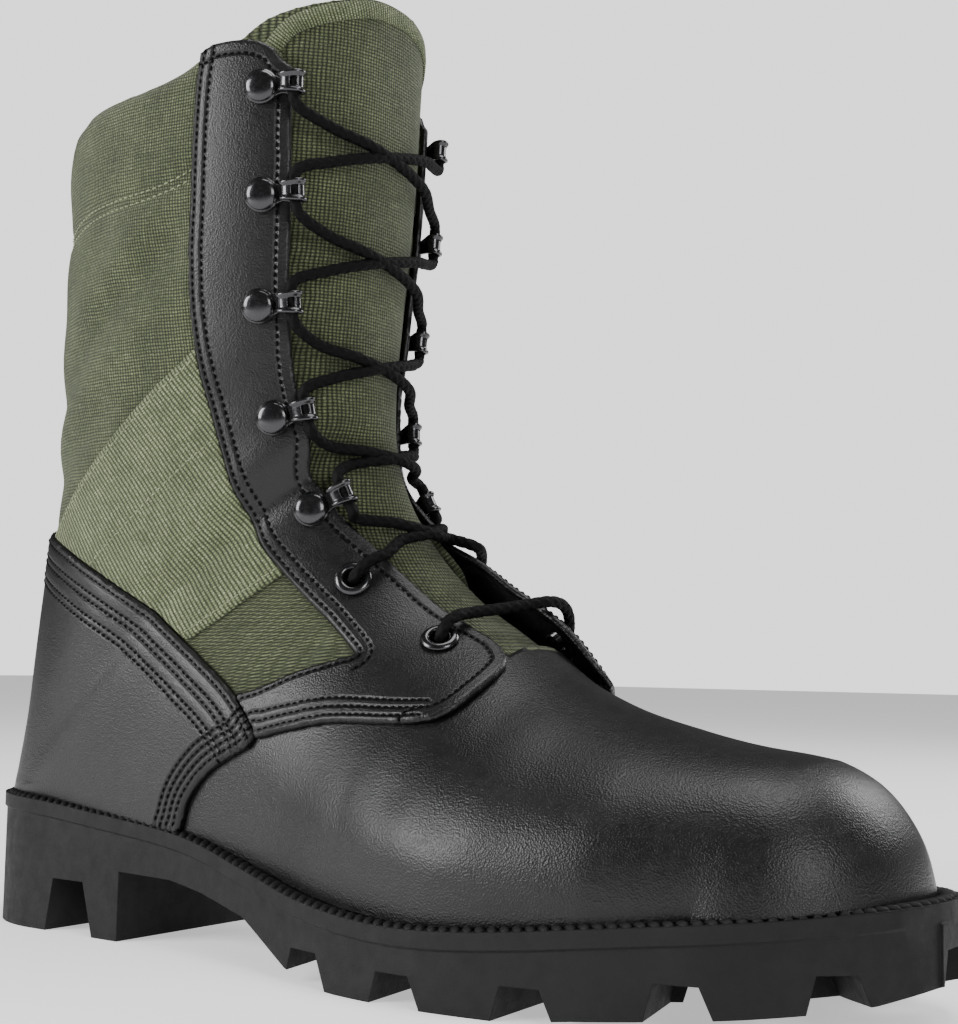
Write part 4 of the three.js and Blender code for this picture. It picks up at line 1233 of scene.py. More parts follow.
def fasteningFrame(row, side, lift):
    at, turn = fasteningSpot(row, side)
    normal = skinNormal(at, turn, side)
    point = skin(at, turn, 0, side) + normal * lift
    level = np.array([-normal[1], normal[0], 0.0]) * -side
    level /= np.linalg.norm(level)
    upward = np.cross(normal, level)
    lean = -side * fastenings[row][5]
    across = level * math.cos(lean) + upward * math.sin(lean)
    return point, np.stack([across, np.cross(normal, across), normal], axis=1)


eyeletPlaces = {side: [fasteningFrame(row, side, 0) for row in (5, 6)] for side in (-1, 1)}


def stayField(side):
    loop = np.vstack(
        [stayBack, stayTop[1:], [onShaft(0.5, 0.7)], lobes[side], bandLower[1:], bandUpper[:-1]]
    )

    def field(at, turn):
        p = skin(at, turn, 1.3, side)
        inside, throat = insideLoop(sideView(p), loop), -insideLoop(p[..., 1:], stayThroat)
        corner = stayShape["corner"]
        short = np.hypot(np.maximum(corner - inside, 0), np.maximum(corner - throat, 0))
        nearest = np.minimum(inside, throat)
        rounded = np.where(nearest >= corner, nearest, corner - short)
        onLobe = np.clip((p[..., 0] / length - 0.56) / 0.03, 0, 1) * (p[..., 2] < 1.12 * instep)
        inside = nearest + (np.minimum(rounded, nearest) - nearest) * onLobe
        inside = np.minimum(inside, -insideLoop(sideView(p) - 0.4, counterLoop))
        for point, axes in eyeletPlaces[side]:
            local = (p - point) @ axes
            hole = np.hypot(local[..., 0], local[..., 1]) - 3.5
            inside = np.where(np.abs(local[..., 2]) < 6, np.minimum(inside, hole), inside)
        return inside

    return field


stayLeather = makeLeather(
    "stayLeather",
    [(name + "Edge", stayShape[name + "Rows"]) for name in ("back", "second", "front", "band")],
)
for side, name in ((-1, "outer"), (1, "inner")):
    ats = np.linspace(7.4, 27, 440)
    turns = np.linspace(0.02, 0.47, 116) * side
    params, polys = clippedGrid(ats, turns, stayField(side))
    base = skin(params[:, 0], params[:, 1], stayShape["lift"] + stayShape["thickness"], side)
    edgePoints = base[sorted({k for pair in openEdges(polys) for k in pair})]
    flatEdge = sideView(edgePoints)
    onBack, onUpper = distanceTo(flatEdge, stayBack) < 1, distanceTo(flatEdge, bandUpper) < 1
    onBand = distanceTo(flatEdge, bandLower) < 1
    onFront = np.abs(insideLoop(edgePoints[:, 1:], stayThroat)) < 1.5
    onFront |= distanceTo(flatEdge, lobes[side]) < 1.2
    onFront |= (distanceTo(flatEdge, stayTop) < 1.2) & ~onBack
    onFront |= (edgePoints[:, 0] > 0.575 * length) & ~onBand
    backDistance, upperBand = nearnessTo(base, edgePoints[onBack]), nearnessTo(
        base, edgePoints[onUpper]
    )
    bandDistance, front = nearnessTo(base, edgePoints[onBand]), nearnessTo(base, edgePoints[onFront])
    edge = np.minimum(np.minimum(backDistance, bandDistance), np.minimum(upperBand, front))
    fields = {
        "backEdge": np.minimum(backDistance, upperBand),
        "secondEdge": np.where(upperBand < backDistance, 99, backDistance),
        "frontEdge": front,
        "bandEdge": np.where(base[:, 0] > 0.596 * length, 99, bandDistance),
    }
    swell = (backDistance - stayShape["paddingRow"]) / stayShape["paddingWidth"]
    padding = stayShape["padding"] * (np.exp(-(swell**2)) - 1)
    thick = stayShape["thickness"] * (0.5 + 0.5 * besideEdge(edge, 0.9)) + padding
    stay, outer = makeShell(
        f"stay_{name}", params, polys, stayShape["lift"] + thick, stayShape["lift"], stayLeather, side
    )
    setFloats(stay, "rim", np.concatenate([edge, edge]))
    tracks = []
    for attribute, values in fields.items():
        setFloats(stay, attribute, np.concatenate([values, values]))
        for row in stayShape[attribute.replace("Edge", "Rows")]:
            tracks += contourTracks(params, outer, polys, values, row)
    finishPiece(stay, "leather", f"eyestay_{name}")
    stitchPiece(f"stayStitches_{name}", tracks, blackThread, "leather")
print("eyelet stays made")


# Ankle tape
def webbingField(at, turn):
    p = skin(at, turn, 0.8)
    inside = insideLoop(sideView(p), webbingLoop)
    inside = np.minimum(inside, -insideLoop(sideView(p) - 0.4, counterLoop))
    return np.minimum(inside, -insideLoop(sideView(p) + np.array([0.3, 0]), stayRegion))


tapeShape = {"lift": 0.3, "thickness": 1.1, "edgeRow": 2.4, "middleRow": 25, "pitch": 2.8}
tapeDirection = np.array([92.0, 76.0])
tapeDirection /= np.linalg.norm(tapeDirection)
for side, name in ((-1, "outer"), (1, "inner")):
    ats = np.linspace(11, 25, 190)
    turns = np.linspace(0.2, 0.86, 120) * side
    params, polys = clippedGrid(ats, turns, webbingField)
    base = skin(params[:, 0], params[:, 1], 0.8)
    flat = sideView(base)
    upperEdge, lowerEdge = distanceTo(flat, webbingUpper), distanceTo(flat, webbingLower)
    edge = np.minimum(upperEdge, lowerEdge)
    thick = tapeShape["thickness"] * (0.35 + 0.65 * besideEdge(edge, 1.2))
    tape, outer = makeShell(
        f"tape_{name}", params, polys, tapeShape["lift"] + thick, tapeShape["lift"], ribbed
    )
    pairs = np.stack(
        [flat @ tapeDirection, flat @ np.array([-tapeDirection[1], tapeDirection[0]])], axis=1
    )
    setUv(tape, np.vstack([pairs, pairs]))
    finishPiece(tape, "webbing", f"webbing_{name}")
    edgeRow = tapeShape["edgeRow"]
    tracks = []
    for values, row in (
        (upperEdge, edgeRow), (upperEdge, tapeShape["middleRow"]), (lowerEdge, edgeRow)
    ):
        tracks += contourTracks(params, outer, polys, values, row)
    stitchPiece(f"tapeStitches_{name}", tracks, paleThread, "webbing", tapeShape["pitch"])
print("ankle tape made")


# Tongue
tongueShape = {
    "thickness": 2.6,
    "rise": 12.5,
    "lap": 8.0,
    "crown": [(1, 0.4), (0.93, 0.55), (0.82, 0.77), (0.55, 0.9), (0.2, 0.98)],
    "bindingWidth": 5.6,
    "fullness": 0.54,
    "fullnessWidth": 26,
}
tongueSide = np.array(
    [
        onShaft(0.33, 1.2),
        onShaft(0.33, 0.7),
        onShaft(0.355, 0.52),
        onFoot(0.42, 1.16),
        onFoot(0.52, 0.92),
        onFoot(0.63, 0.78),
        onFoot(0.66, 1.0),
        onFoot(0.58, 1.45),
        onShaft(0.58, 1.2),
    ]
)
breadth = throatRows[1][1] * ballWidth + tongueShape["lap"]
crownFrom, crownTo = throatRows[1][3], shaftHeight + tongueShape["rise"]
crownRows = tongueShape["crown"] + [(-a, h) for a, h in reversed(tongueShape["crown"])]
crownLine = smoothRun([(breadth * a, crownFrom + (crownTo - crownFrom) * h) for a, h in crownRows], 1.0)
leftSide = smoothRun([(row[0] * ballWidth - tongueShape["lap"], row[3]) for row in throatRows[1:]])
rightSide = smoothRun([(row[1] * ballWidth + tongueShape["lap"], row[3]) for row in throatRows[1:]])
tongueFront = np.vstack([leftSide, rightSide[::-1], crownLine])
tongueUnder = boot["wall"] + boot["fit"]


def tongueField(at, turn):
    p = skin(at, turn, -tongueUnder - 1)
    return np.minimum(insideLoop(sideView(p), tongueSide), insideLoop(p[..., 1:], tongueFront))


ats = np.linspace(7.5, lastSection, 300)
turns = np.linspace(-0.47, 0.47, 150)
params, polys = clippedGrid(ats, turns, tongueField)
base = skin(params[:, 0], params[:, 1], -tongueUnder)
puff = np.exp(-((base[:, 1] / tongueShape["fullnessWidth"]) ** 2)) * np.clip(
    (base[:, 2] - 120) / 40, 0, 1
)
puff = tongueShape["fullness"] * puff - tongueUnder
tongue, _ = makeShell(
    "tongueCloth", params, polys, puff, -tongueUnder - tongueShape["thickness"], canvas
)
pairs = np.stack([base[:, 1], base[:, 2]], axis=1)
setUv(tongue, np.vstack([pairs, pairs]))
finishPiece(tongue, "canvas", "tongue")

# The binding folds over the tongue's round edge
bindingVertices, bindingFaces, bindingUv = [], [], []
start = 4
track = []
for y, z in crownLine[start : len(crownLine) - start]:
    at, turn = spotOnLast(0, y=float(y), z=float(z))
    track.append((skin(at, turn, -tongueUnder - tongueShape["thickness"] / 2), skinNormal(at, turn, 0)))
centres = np.array([p for p, _ in track])
gone = np.concatenate([[0], np.cumsum(np.linalg.norm(np.diff(centres, axis=0), axis=1))])
wide, thick = tongueShape["bindingWidth"], tongueShape["thickness"] / 2
profile = [
    (-wide, thick + 0.1), (-wide, thick + 0.9), (-wide * 0.5, thick + 1.1), (-0.6, thick + 0.9),
    (0.6, thick * 0.7), (0.95, 0)
]
profile += [
    (0.6, -thick * 0.7), (-0.6, -thick - 0.9), (-wide * 0.5, -thick - 1.1), (-wide, -thick - 0.9),
    (-wide, -thick - 0.1)
]
profile += [(-wide * 0.5, -thick - 0.2), (-0.5, 0)]
profile += [(-wide * 0.5, thick + 0.2)]
runProfile = np.concatenate(
    [[0], np.cumsum(np.linalg.norm(np.diff(np.array(profile), axis=0), axis=1))]
)
for k, (p, n) in enumerate(track):
    ahead = centres[min(k + 1, len(centres) - 1)] - centres[max(k - 1, 0)]
    ahead /= np.linalg.norm(ahead)
    outward = np.cross(ahead, n)
    if outward @ (p - np.array([p[0], 0, 255])) < 0:
        outward = -outward
    for (out, up), run in zip(profile, runProfile):
        bindingVertices.append(p + outward * out + n * up)
        bindingUv.append((gone[k] * 1.4, run))
    if k:
        size = len(profile)
        for q in range(size):
            r = (q + 1) % size
            bindingFaces.append(((k - 1) * size + q, k * size + q, k * size + r, (k - 1) * size + r))
bindingFaces += [
    tuple(range(len(profile))), tuple(len(bindingVertices) - 1 - q for q in range(len(profile)))
]
binding = newObject("tongueBinding", bindingVertices, bindingFaces, ribbed)
setUv(binding, bindingUv)
finishPiece(binding, "webbing")
refine(binding)
print("tongue made")


# Insole
insoleLift = 4.0
insoleThickness = 3.2
# dark is painted shade in the weave's gaps; light and fleck are painted highlight on the yarn crowns
boardLook = {"yarn": 0.6, "dark": (0.02, 0.021, 0.018), "light": (0.09, 0.09, 0.08), "depth": 0.1}
board = makeCloth("footbedCloth", {**canvasLook, **boardLook, "fleck": (0.12, 0.12, 0.11)})
xs = np.concatenate([[10.2], np.linspace(11.5, 302, 110), [303.0]])
rows = []
levelCount, aroundCount = 160, 121
levels = np.linspace(0, lastSection, levelCount)
around = np.linspace(-1, 1, aroundCount)
grid = skin(levels[:, None], around[None, :], -boot["wall"] - boot["fit"])
gridFaces = []
for i in range(levelCount - 1):
    for j in range(aroundCount - 1):
        k = i * aroundCount + j
        gridFaces.append((k, k + 1, k + aroundCount + 1, k + aroundCount))
insideTree = BVHTree.FromPolygons(grid.reshape(-1, 3).tolist(), gridFaces)
for x in xs:
    middle = float(curveThrough(plan["at"], plan["middle"], x / length)) * ballWidth
    height = float(seat(x)) + boot["fit"] + insoleLift - 0.4
    ends = []
    for side in (-1, 1):
        hit, _, _, _ = insideTree.ray_cast(Vector((float(x), middle, height)), Vector((0, side, 0)), 80)
        ends.append(hit[1] if hit is not None else middle)
    rows.append((x, ends[0], ends[1], height))
rows = [row for row in rows if row[2] - row[1] > 6]
insoleVertices, insoleFaces, insoleUv = [], [], []
across = np.linspace(-1, 1, 25)
for x, low, high, height in rows:
    for t in across:
        y = (low + high) / 2 + (high - low) / 2 * t * 0.99
        dish = 0.4 - 0.9 * (1 - t * t) ** 0.5 + 0.5
        insoleVertices.append((x, y, height + dish - 0.3))
        insoleUv.append((x, y))
count = len(insoleVertices)
insoleVertices += [(x, y, z - insoleThickness) for x, y, z in insoleVertices]
insoleUv += insoleUv
width = len(across)
for i in range(len(rows) - 1):
    for j in range(width - 1):
        quad = [i * width + j, (i + 1) * width + j, (i + 1) * width + j + 1, i * width + j + 1]
        insoleFaces.append(quad)
        insoleFaces.append([k + count for k in reversed(quad)])
tops = [face for face in insoleFaces if max(face) < count]
insoleFaces += [[b, a, a + count, b + count] for a, b in openEdges(tops)]
insole = newObject("footbed", insoleVertices, insoleFaces, board)
setUv(insole, insoleUv)
finishPiece(insole, "board", "insole")
print("insole made")


# Outsole
soleShape = {
    "weltThickness": 4.2,
    "weltStep": 0.9,
    "breast": 0.243,
    "arch": [(0.243, 20.4), (0.313, 20.0), (0.36, 17.8), (0.425, 13.7)],
    "tread": [
        (0.492, 3.52),
        (0.53, 0.33),
        (0.56, 0),
        (0.72, 0),
        (0.776, 1.87),
        (0.82, 2.97),
        (0.895, 5.28),
        (0.933, 6.6),
        (0.971, 8.25),
        (1.0, 11.0),
    ],
    "gaps": [
        # at, width, depth, run, lean
        (0.171, 13.5, 16, 24, 0),
        (0.518, 10, 8, 30, 0.12),
        (0.623, 10, 8, 30, 0.12),
        (0.735, 10, 8, 31, 0.06),
        (0.851, 10.5, 8, 28, 0.25),
        (0.952, 10, 8, 24, 0.75),
    ],
    "chevrons": [0.575, 0.68, 0.79],
}
underLine = [(0.0, 0.0), (soleShape["breast"] - 1e-4, 0.0)] + soleShape["arch"] + soleShape["tread"]
underAt = np.array([row[0] for row in underLine])
underHeight = np.array([row[1] for row in underLine])


def treadHeight(at):
    rows = soleShape["tread"]
    return 0.0 if at < soleShape["breast"] else float(
        curveThrough([r[0] for r in rows], [r[1] for r in rows], at)
    )


heelEnd = 0.5 * length * (1 - np.cos(np.linspace(0, math.pi, 181)))
stationList = sorted(set(np.round(np.concatenate([heelEnd, underAt * length]), 4)))
stationList = [x for x in stationList if 0.002 < x < length - 0.002]
stationList = [0.002] + stationList + [length - 0.002]
soleVertices, soleFaces = [], []
inward = np.linspace(1, -1, 13)[1:-1]
for x in stationList:
    top, under = float(seat(x)), float(np.interp(x / length, underAt, underHeight))
    ring = []
    rimUnder = top - soleShape["weltThickness"]
    wallTop = rimUnder - 0.6
    for side in (-1, 1):
        outer = float(planSide(x, side))
        step = float(planSide(min(max(x, 0.9), length - 0.9), side, soleShape["weltStep"]))
        edgeRow = [(outer, top), (outer, rimUnder), (step, wallTop)]
        wallRows = [(step, wallTop * (1 - t) + under * t) for t in (0.33, 0.66, 1)]
        ring.append(edgeRow + wallRows)
    left, right = ring
    low = [(left[-1][0] + (right[-1][0] - left[-1][0]) * (1 - t) / 2, under) for t in inward]
    high = [(right[0][0] + (left[0][0] - right[0][0]) * (1 - t) / 2, top) for t in inward]
    for y, z in left + low + right[::-1] + high:
        soleVertices.append((x, y, z))
size = len(left + low + right + high)
for i in range(len(stationList) - 1):
    for j in range(size):
        k = (j + 1) % size
        soleFaces.append((i * size + j, i * size + k, (i + 1) * size + k, (i + 1) * size + j))
soleFaces += [
    tuple(reversed(range(size))), tuple((len(stationList) - 1) * size + j for j in range(size))
]
sole = newObject("soleBlock", soleVertices, soleFaces, rubber, smooth=False)
refine(sole, merge=0.00001)


def channelBox(x, y, angle, run, width, heelward, toeward, roof):
    below, beyond = 2.0, 20.0
    mouth = roof + below
    shape = [
        (-width / 2 - toeward * mouth, -below), (width / 2 + heelward * mouth, -below),
        (width / 2, roof), (-width / 2, roof)
    ]
    inwardAxis = np.array([math.cos(angle), math.sin(angle), 0])
    acrossAxis = np.array([-inwardAxis[1], inwardAxis[0], 0])
    start = np.array([x, y, 0]) - inwardAxis * beyond
    vertices = [start + acrossAxis * a + np.array([0, 0, z]) for a, z in shape]
    vertices += [v + inwardAxis * (run + beyond) for v in vertices[:4]]
    faces = [(0, 1, 2, 3), (7, 6, 5, 4), (0, 4, 5, 1), (1, 5, 6, 2), (2, 6, 7, 3), (3, 7, 4, 0)]
    return vertices, faces


cutters = []
for at, width, depth, run, lean in soleShape["gaps"]:
    slope = 0.3 if depth == 16 else 0.45
    for side in (-1, 1):
        x = at * length
        heelward, toeward = (0.6 * slope, slope) if side < 0 else (slope, 0.6 * slope)
        angle = -side * (math.pi / 2 + lean)
        cutters.append(
            channelBox(
                x, float(planSide(x, side)), angle, run, width, heelward, toeward,
                treadHeight(at) + depth
            )
        )
cutters.append(channelBox(length, float(planSide(length, 1)), math.pi, 16, 9, 0.3, 0.3, 19))
for at in soleShape["chevrons"]:
    for side in (-1, 1):
        x = at * length
        lean = math.pi / 5
        y = float(curveThrough(plan["at"], plan["middle"], at)) * ballWidth - side * 20 * math.cos(lean)
        cutters.append(
            channelBox(
                x + 20 * math.sin(lean), y, side * (math.pi / 2 + lean), 23, 6, 0.3, 0.3,
                treadHeight(at) + 6
            )
        )
helpers = []
for vertices, faces in cutters:
    helper = newObject("cutter", vertices, faces, rubber, smooth=False)
    refine(helper)
    modifier = sole.modifiers.new("cut", "BOOLEAN")
    modifier.operation = "DIFFERENCE"
    modifier.solver = "EXACT"
    modifier.object = helper
    helpers.append(helper)
evaluated = sole.evaluated_get(bpy.context.evaluated_depsgraph_get())
cutMesh = bpy.data.meshes.new_from_object(evaluated)
sole.modifiers.clear()
sole.data = cutMesh
for helper in helpers:
    bpy.data.objects.remove(helper)
work = bmesh.new()
work.from_mesh(sole.data)
for one in work.edges:
    one.smooth = not (len(one.link_faces) == 2 and one.calc_face_angle(0) > math.radians(32))
for one in work.faces:
    one.smooth = True
work.to_mesh(sole.data)
work.free()
finishPiece(sole, "rubber", "outsole")
print("outsole made")

# The rope-like teeth along the top of the welt
toothShape = {
    "pitch": 3.3, "inset": 2.3, "half": 2.7, "width": 1.3, "rise": 1.45, "sink": 0.35, "slant": 0.6
}
inset = toothShape["inset"]
outlineX = 0.5 * length * (1 - np.cos(np.linspace(0.02, math.pi - 0.02, 900)))
loop = [(x, float(planSide(x, -1, inset))) for x in outlineX]
loop += [(x, float(planSide(x, 1, inset))) for x in outlineX[::-1]]
loop = np.array(loop + loop[:1])
loop[:, 0] = 1.2 * inset + loop[:, 0] * (1 - 2.4 * inset / length)
gone = np.concatenate([[0], np.cumsum(np.linalg.norm(np.diff(loop, axis=0), axis=1))])
toothCount = int(gone[-1] / toothShape["pitch"])
toothVertices, toothFaces = [], []
for k in range(toothCount):
    place = gone[-1] * k / toothCount
    p = np.array([np.interp(place, gone, loop[:, 0]), np.interp(place, gone, loop[:, 1])])
    q = np.array(
        [
            np.interp((place + 1) % gone[-1], gone, loop[:, 0]),
            np.interp((place + 1) % gone[-1], gone, loop[:, 1])
        ]
    )
    along = (q - p) / max(np.linalg.norm(q - p), 1e-9)
    out = np.array([along[1], -along[0]])
    axis = out * math.cos(toothShape["slant"]) + along * math.sin(toothShape["slant"])
    crosswise = np.array([-axis[1], axis[0]])
    z0 = float(seat(p[0]))
    slopeX = float(seat(min(p[0] + 1, length)) - seat(max(p[0] - 1, 0))) / 2
    base = len(toothVertices)
    rings, sides = 6, 7
    for i in range(rings):
        s = -1 + 2 * i / (rings - 1)
        swell = max(1 - abs(s) ** 3.2, 0.08) ** 0.5
        for j in range(sides):
            angle = math.pi * j / (sides - 1)
            flat = p + axis * s * toothShape["half"]
            flat = flat + crosswise * math.cos(angle) * toothShape["width"] * swell
            rise = math.sin(angle) * toothShape["rise"] * swell - toothShape["sink"]
            toothVertices.append((flat[0], flat[1], z0 + slopeX * (flat[0] - p[0]) + rise))
    for i in range(rings - 1):
        for j in range(sides):
            n = (j + 1) % sides
            toothFaces.append(
                (
                    base + i * sides + j, base + i * sides + n, base + (i + 1) * sides + n,
                    base + (i + 1) * sides + j
                )
            )
    toothFaces.append(tuple(base + j for j in reversed(range(sides))))
    toothFaces.append(tuple(base + (rings - 1) * sides + j for j in range(sides)))
teeth = newObject("weltTeeth", toothVertices, toothFaces, rubber)
finishPiece(teeth, "rubber")
print("welt teeth made")


# Hooks and eyelets
hookShape = {
    "seat": 2.9,
    "width": 7.0,
    "reach": 13.4,
    "railHeight": 0.95,
}


def revolved(profile, segments=36):
    vertices, faces = [], []
    for r, z in profile:
        for k in range(segments):
            angle = 2 * math.pi * k / segments
            vertices.append((r * math.cos(angle), r * math.sin(angle), z))
    rows = len(profile)
    for i in range(rows - 1):
        for k in range(segments):
            n = (k + 1) % segments
            faces.append(
                (i * segments + k, i * segments + n, (i + 1) * segments + n, (i + 1) * segments + k)
            )
    return vertices, faces


def hookPlate():
    # a drop-shaped plate that narrows to a neck, curls round at its tip and comes back with two rails
    size = hookShape
    curl = 2.0
    centre = (size["reach"] - 0.45 - curl, 0.6 + curl)
    path = [(-4.0, 0.4), (-2, 0.4), (0, 0.4), (3.5, 0.4), (6.6, 0.5), (9.0, 0.6)]
    bends = np.linspace(0, math.pi, 8)
    path += [(centre[0] + curl * math.sin(a), centre[1] - curl * math.cos(a)) for a in bends]
    path += [(9.4, 4.65), (8.2, 4.45), (7.3, 3.9), (6.9, 3.2)]
    path = smoothRun(path, 0.5)
    gone = np.concatenate([[0], np.cumsum(np.linalg.norm(np.diff(path, axis=0), axis=1))])
    curlFrom = gone[np.argmax(path[:, 0] > centre[0])]
    halfAt = [0, 1.5, 4, 6.5, 8.5, 10.6, 12, curlFrom + 2, gone[-1] - 3, gone[-1]]
    halfs = [2.6, 4.2, 5.1, 4.4, 3.0, 2.3, 2.6, 3.4, 3.0, 2.6]
    across = np.linspace(-1, 1, 15)
    vertices, faces = [], []
    for k, (x, z) in enumerate(path):
        half = float(curveThrough(halfAt, halfs, gone[k]))
        direction = path[min(k + 1, len(path) - 1)] - path[max(k - 1, 0)]
        direction /= np.linalg.norm(direction)
        outward = np.array([direction[1], -direction[0]])
        rim = size["railHeight"] * float(np.clip((gone[k] - curlFrom - 1) / 1.5, 0, 1))
        for t in across:
            up = rim * math.exp(-(((abs(t) - 0.84) / 0.17) ** 2))
            vertices.append((x + outward[0] * up, half * t, z + outward[1] * up))
    wide = len(across)
    for k in range(len(path) - 1):
        onTop = gone[k] > curlFrom + 3.5
        for j in range(wide - 1):
            if onTop and 10.2 < path[k][0] < 11.9 and 4 <= j <= 9:
                continue
            faces.append((k * wide + j, k * wide + j + 1, (k + 1) * wide + j + 1, (k + 1) * wide + j))
    return vertices, faces


def applied(made):
    evaluated = made.evaluated_get(bpy.context.evaluated_depsgraph_get())
    mesh = bpy.data.meshes.new_from_object(evaluated)
    made.modifiers.clear()
    made.data = mesh
    return made


plateVertices, plateFaces = hookPlate()
template = newObject("hookTemplate", plateVertices, plateFaces, enamel)
solid = template.modifiers.new("thick", "SOLIDIFY")
solid.thickness = 0.0008
solid.offset = 0
smoothing = template.modifiers.new("round", "SUBSURF")
smoothing.levels = smoothing.render_levels = 1
applied(template)
platePoints = np.array([v.co for v in template.data.vertices]) * 1000 - toFrame
plateFaces = [tuple(face.vertices) for face in template.data.polygons]
bpy.data.objects.remove(template)
domeProfile = [
    (0.01, 0.1), (4.9, 0.1), (5.2, 0.35), (5.25, 0.8), (5.1, 1.15), (4.75, 1.25), (4.72, 1.5),
    (4.45, 1.95)
]
domeProfile += [(3.9, 2.35), (3.0, 2.66), (2.0, 2.83), (1.0, 2.92), (0.01, 2.94)]
domeVertices, domeFaces = revolved(domeProfile)
shift = len(platePoints)
hookPoints = np.vstack([platePoints, np.array(domeVertices)])
hookFaces = plateFaces + [tuple(k + shift for k in face) for face in domeFaces]
eyeletProfile = [
    (2.6, -2.0), (2.6, 2.6), (2.75, 3.3), (3.3, 3.85), (4.0, 3.95), (4.8, 3.7), (5.3, 3.2),
    (5.4, 2.95), (5.0, 2.9), (3.25, 2.85), (3.25, -2.0), (2.6, -2.0)
]
eyeletVertices, eyeletFaces = revolved(eyeletProfile, 40)
eyeletPoints = np.array(eyeletVertices)
for side, name in ((-1, "outer"), (1, "inner")):
    for row in range(7):
        isHook = row < 5
        point, axes = fasteningFrame(row, side, hookShape["seat"] if isHook else 0)
        source, faces = (hookPoints, hookFaces) if isHook else (eyeletPoints, eyeletFaces)
        local = source.copy()
        if axes[:, 1] @ np.array([0, 0, 1]) < 0:
            local[:, 1] *= -1
        number = row + 1 if isHook else row - 4
        node = f"hook_{name}_{number}" if isHook else f"eyelet_{name}_{number}"
        label = f"speedHook_{name}_{number}" if isHook else f"eyeletRing_{name}_{number}"
        piece = newObject(label, local @ axes.T + point, faces, enamel)
        refine(piece, merge=0.00001)
        finishPiece(piece, "metal", node)
print("hooks and eyelets made")


# Lace
laceShape = {
    "diameter": 3.5, "ride": 2.6, "overEyelet": 4.4, "hookClear": 2.3, "braidTurns": 4,
    "braidPitch": 4.6, "step": 0.4
}


def laceAtHook(row, side, up):
    point, axes = fasteningFrame(row, side, hookShape["seat"])
    half = hookShape["width"] / 2 + laceShape["hookClear"]
    spot = np.array([0.83 * hookShape["reach"], -side * up * half, 2.8])
    return point + axes @ spot


def laceThroughHook(row, side):
    point, axes = fasteningFrame(row, side, hookShape["seat"])
    return point + axes @ np.array([0.79 * hookShape["reach"], 0, 2.8])


def laceFromEyelet(row, side, into):
    at, turn = fasteningSpot(row, side)
    edge = turn
    while True:
        p = skin(at, edge, 0, side)
        if side * (p[1] - float(throatEdge(p[2], side))) <= 0:
            break
        edge -= side * 0.005
    ride = laceShape["overEyelet"] + laceShape["diameter"] / 2
    shares = (0, 0.35, 0.7)
    made = []
    for share in shares:
        along = edge + (turn - edge) * share
        made.append(
            skin(at, along, 0, side) + skinNormal(at, along, side) * (ride - 1.2 * (share == 0))
        )
    point, axes = fasteningFrame(row, side, 0)
    made.append(point + axes @ np.array([0.6, 0, 4.4]))
    if into:
        made.append(point + axes @ np.array([-0.2, 0, 1.0]))
        made.append(point + axes @ np.array([-0.2, 0, -1.6]))
    return made


def overTongue(start, end, spans=6):
    # the shortest way over the round tongue falls evenly along its arc, not along its width
    shares = np.linspace(0, 1, 13)
    heights = start[2] + (end[2] - start[2]) * shares
    for _ in range(2):
        spots = []
        for share, z in zip(shares, heights):
            y = float(start[1] + (end[1] - start[1]) * share)
            at, turn = spotOnLast(0, y=y, z=float(z))
            spots.append(lastPoint(at, turn) + lastNormal(at, turn) * laceShape["ride"])
        flat = np.array(spots)[:, :2]
        flat[0], flat[-1] = start[:2], end[:2]
        run = np.concatenate([[0], np.cumsum(np.linalg.norm(np.diff(flat, axis=0), axis=1))])
        gone = run / run[-1]
        share = gone**0.78 if start[1] < end[1] else 1 - (1 - gone) ** 0.78
        heights = start[2] + (end[2] - start[2]) * share
    made = []
    for place in np.linspace(0, run[-1], spans + 1)[1:-1]:
        spot = np.array([np.interp(place, run, [p[k] for p in spots]) for k in range(3)])
        straight = start + (end - start) * place / run[-1]
        ahead = straight[0] > spot[0] and abs(spot[1] - start[1]) > 4 and abs(spot[1] - end[1]) > 4
        made.append(straight if ahead else spot)
    return made


def lacePath(firstSide):
    side = firstSide
    points = laceFromEyelet(5, side, True)[::-1]
    for row in range(4, -1, -1):
        side = -side
        entering = laceAtHook(row, side, -1)
        points += overTongue(points[-1], entering)
        points.append(entering)
        points.append(laceThroughHook(row, side))
        if row > 0:
            points.append(laceAtHook(row, side, 1))
        else:
            point, axes = fasteningFrame(row, side, hookShape["seat"])
            points.append(point + axes @ np.array([0.72 * hookShape["reach"], -side * 3.2, 2.4]))
    return points


def tightRun(points, spacing):
    # a curve through the points whose bends stay close to them, however unevenly they are spaced
    points = [np.asarray(p, float) for p in points]
    kept = [points[0]]
    for p in points[1:]:
        if np.linalg.norm(p - kept[-1]) > 0.4:
            kept.append(p)
    points = [2 * kept[0] - kept[1]] + kept + [2 * kept[-1] - kept[-2]]
    made = []
    for i in range(1, len(points) - 2):
        four = points[i - 1 : i + 3]
        knots = [0.0]
        for a, b in zip(four[:-1], four[1:]):
            knots.append(knots[-1] + math.sqrt(np.linalg.norm(b - a)))
        steps = max(2, int(np.linalg.norm(four[2] - four[1]) / spacing))
        for t in knots[1] + (knots[2] - knots[1]) * np.arange(steps) / steps:
            level = four
            for depth in (1, 2, 3):
                spans = [(max(j, 0), j + depth) for j in range(len(level) - 1)]
                if depth == 3:
                    spans = [(1, 2)]
                elif depth == 2:
                    spans = [(0, 2), (1, 3)]
                level = [
                    (level[j] * (knots[high] - t) + level[j + 1] * (t - knots[low])) / (
                        knots[high] - knots[low]
                    )
                    for j, (low, high) in enumerate(spans)
                ]
            made.append(level[0])
    return np.array(made + [points[-2]])


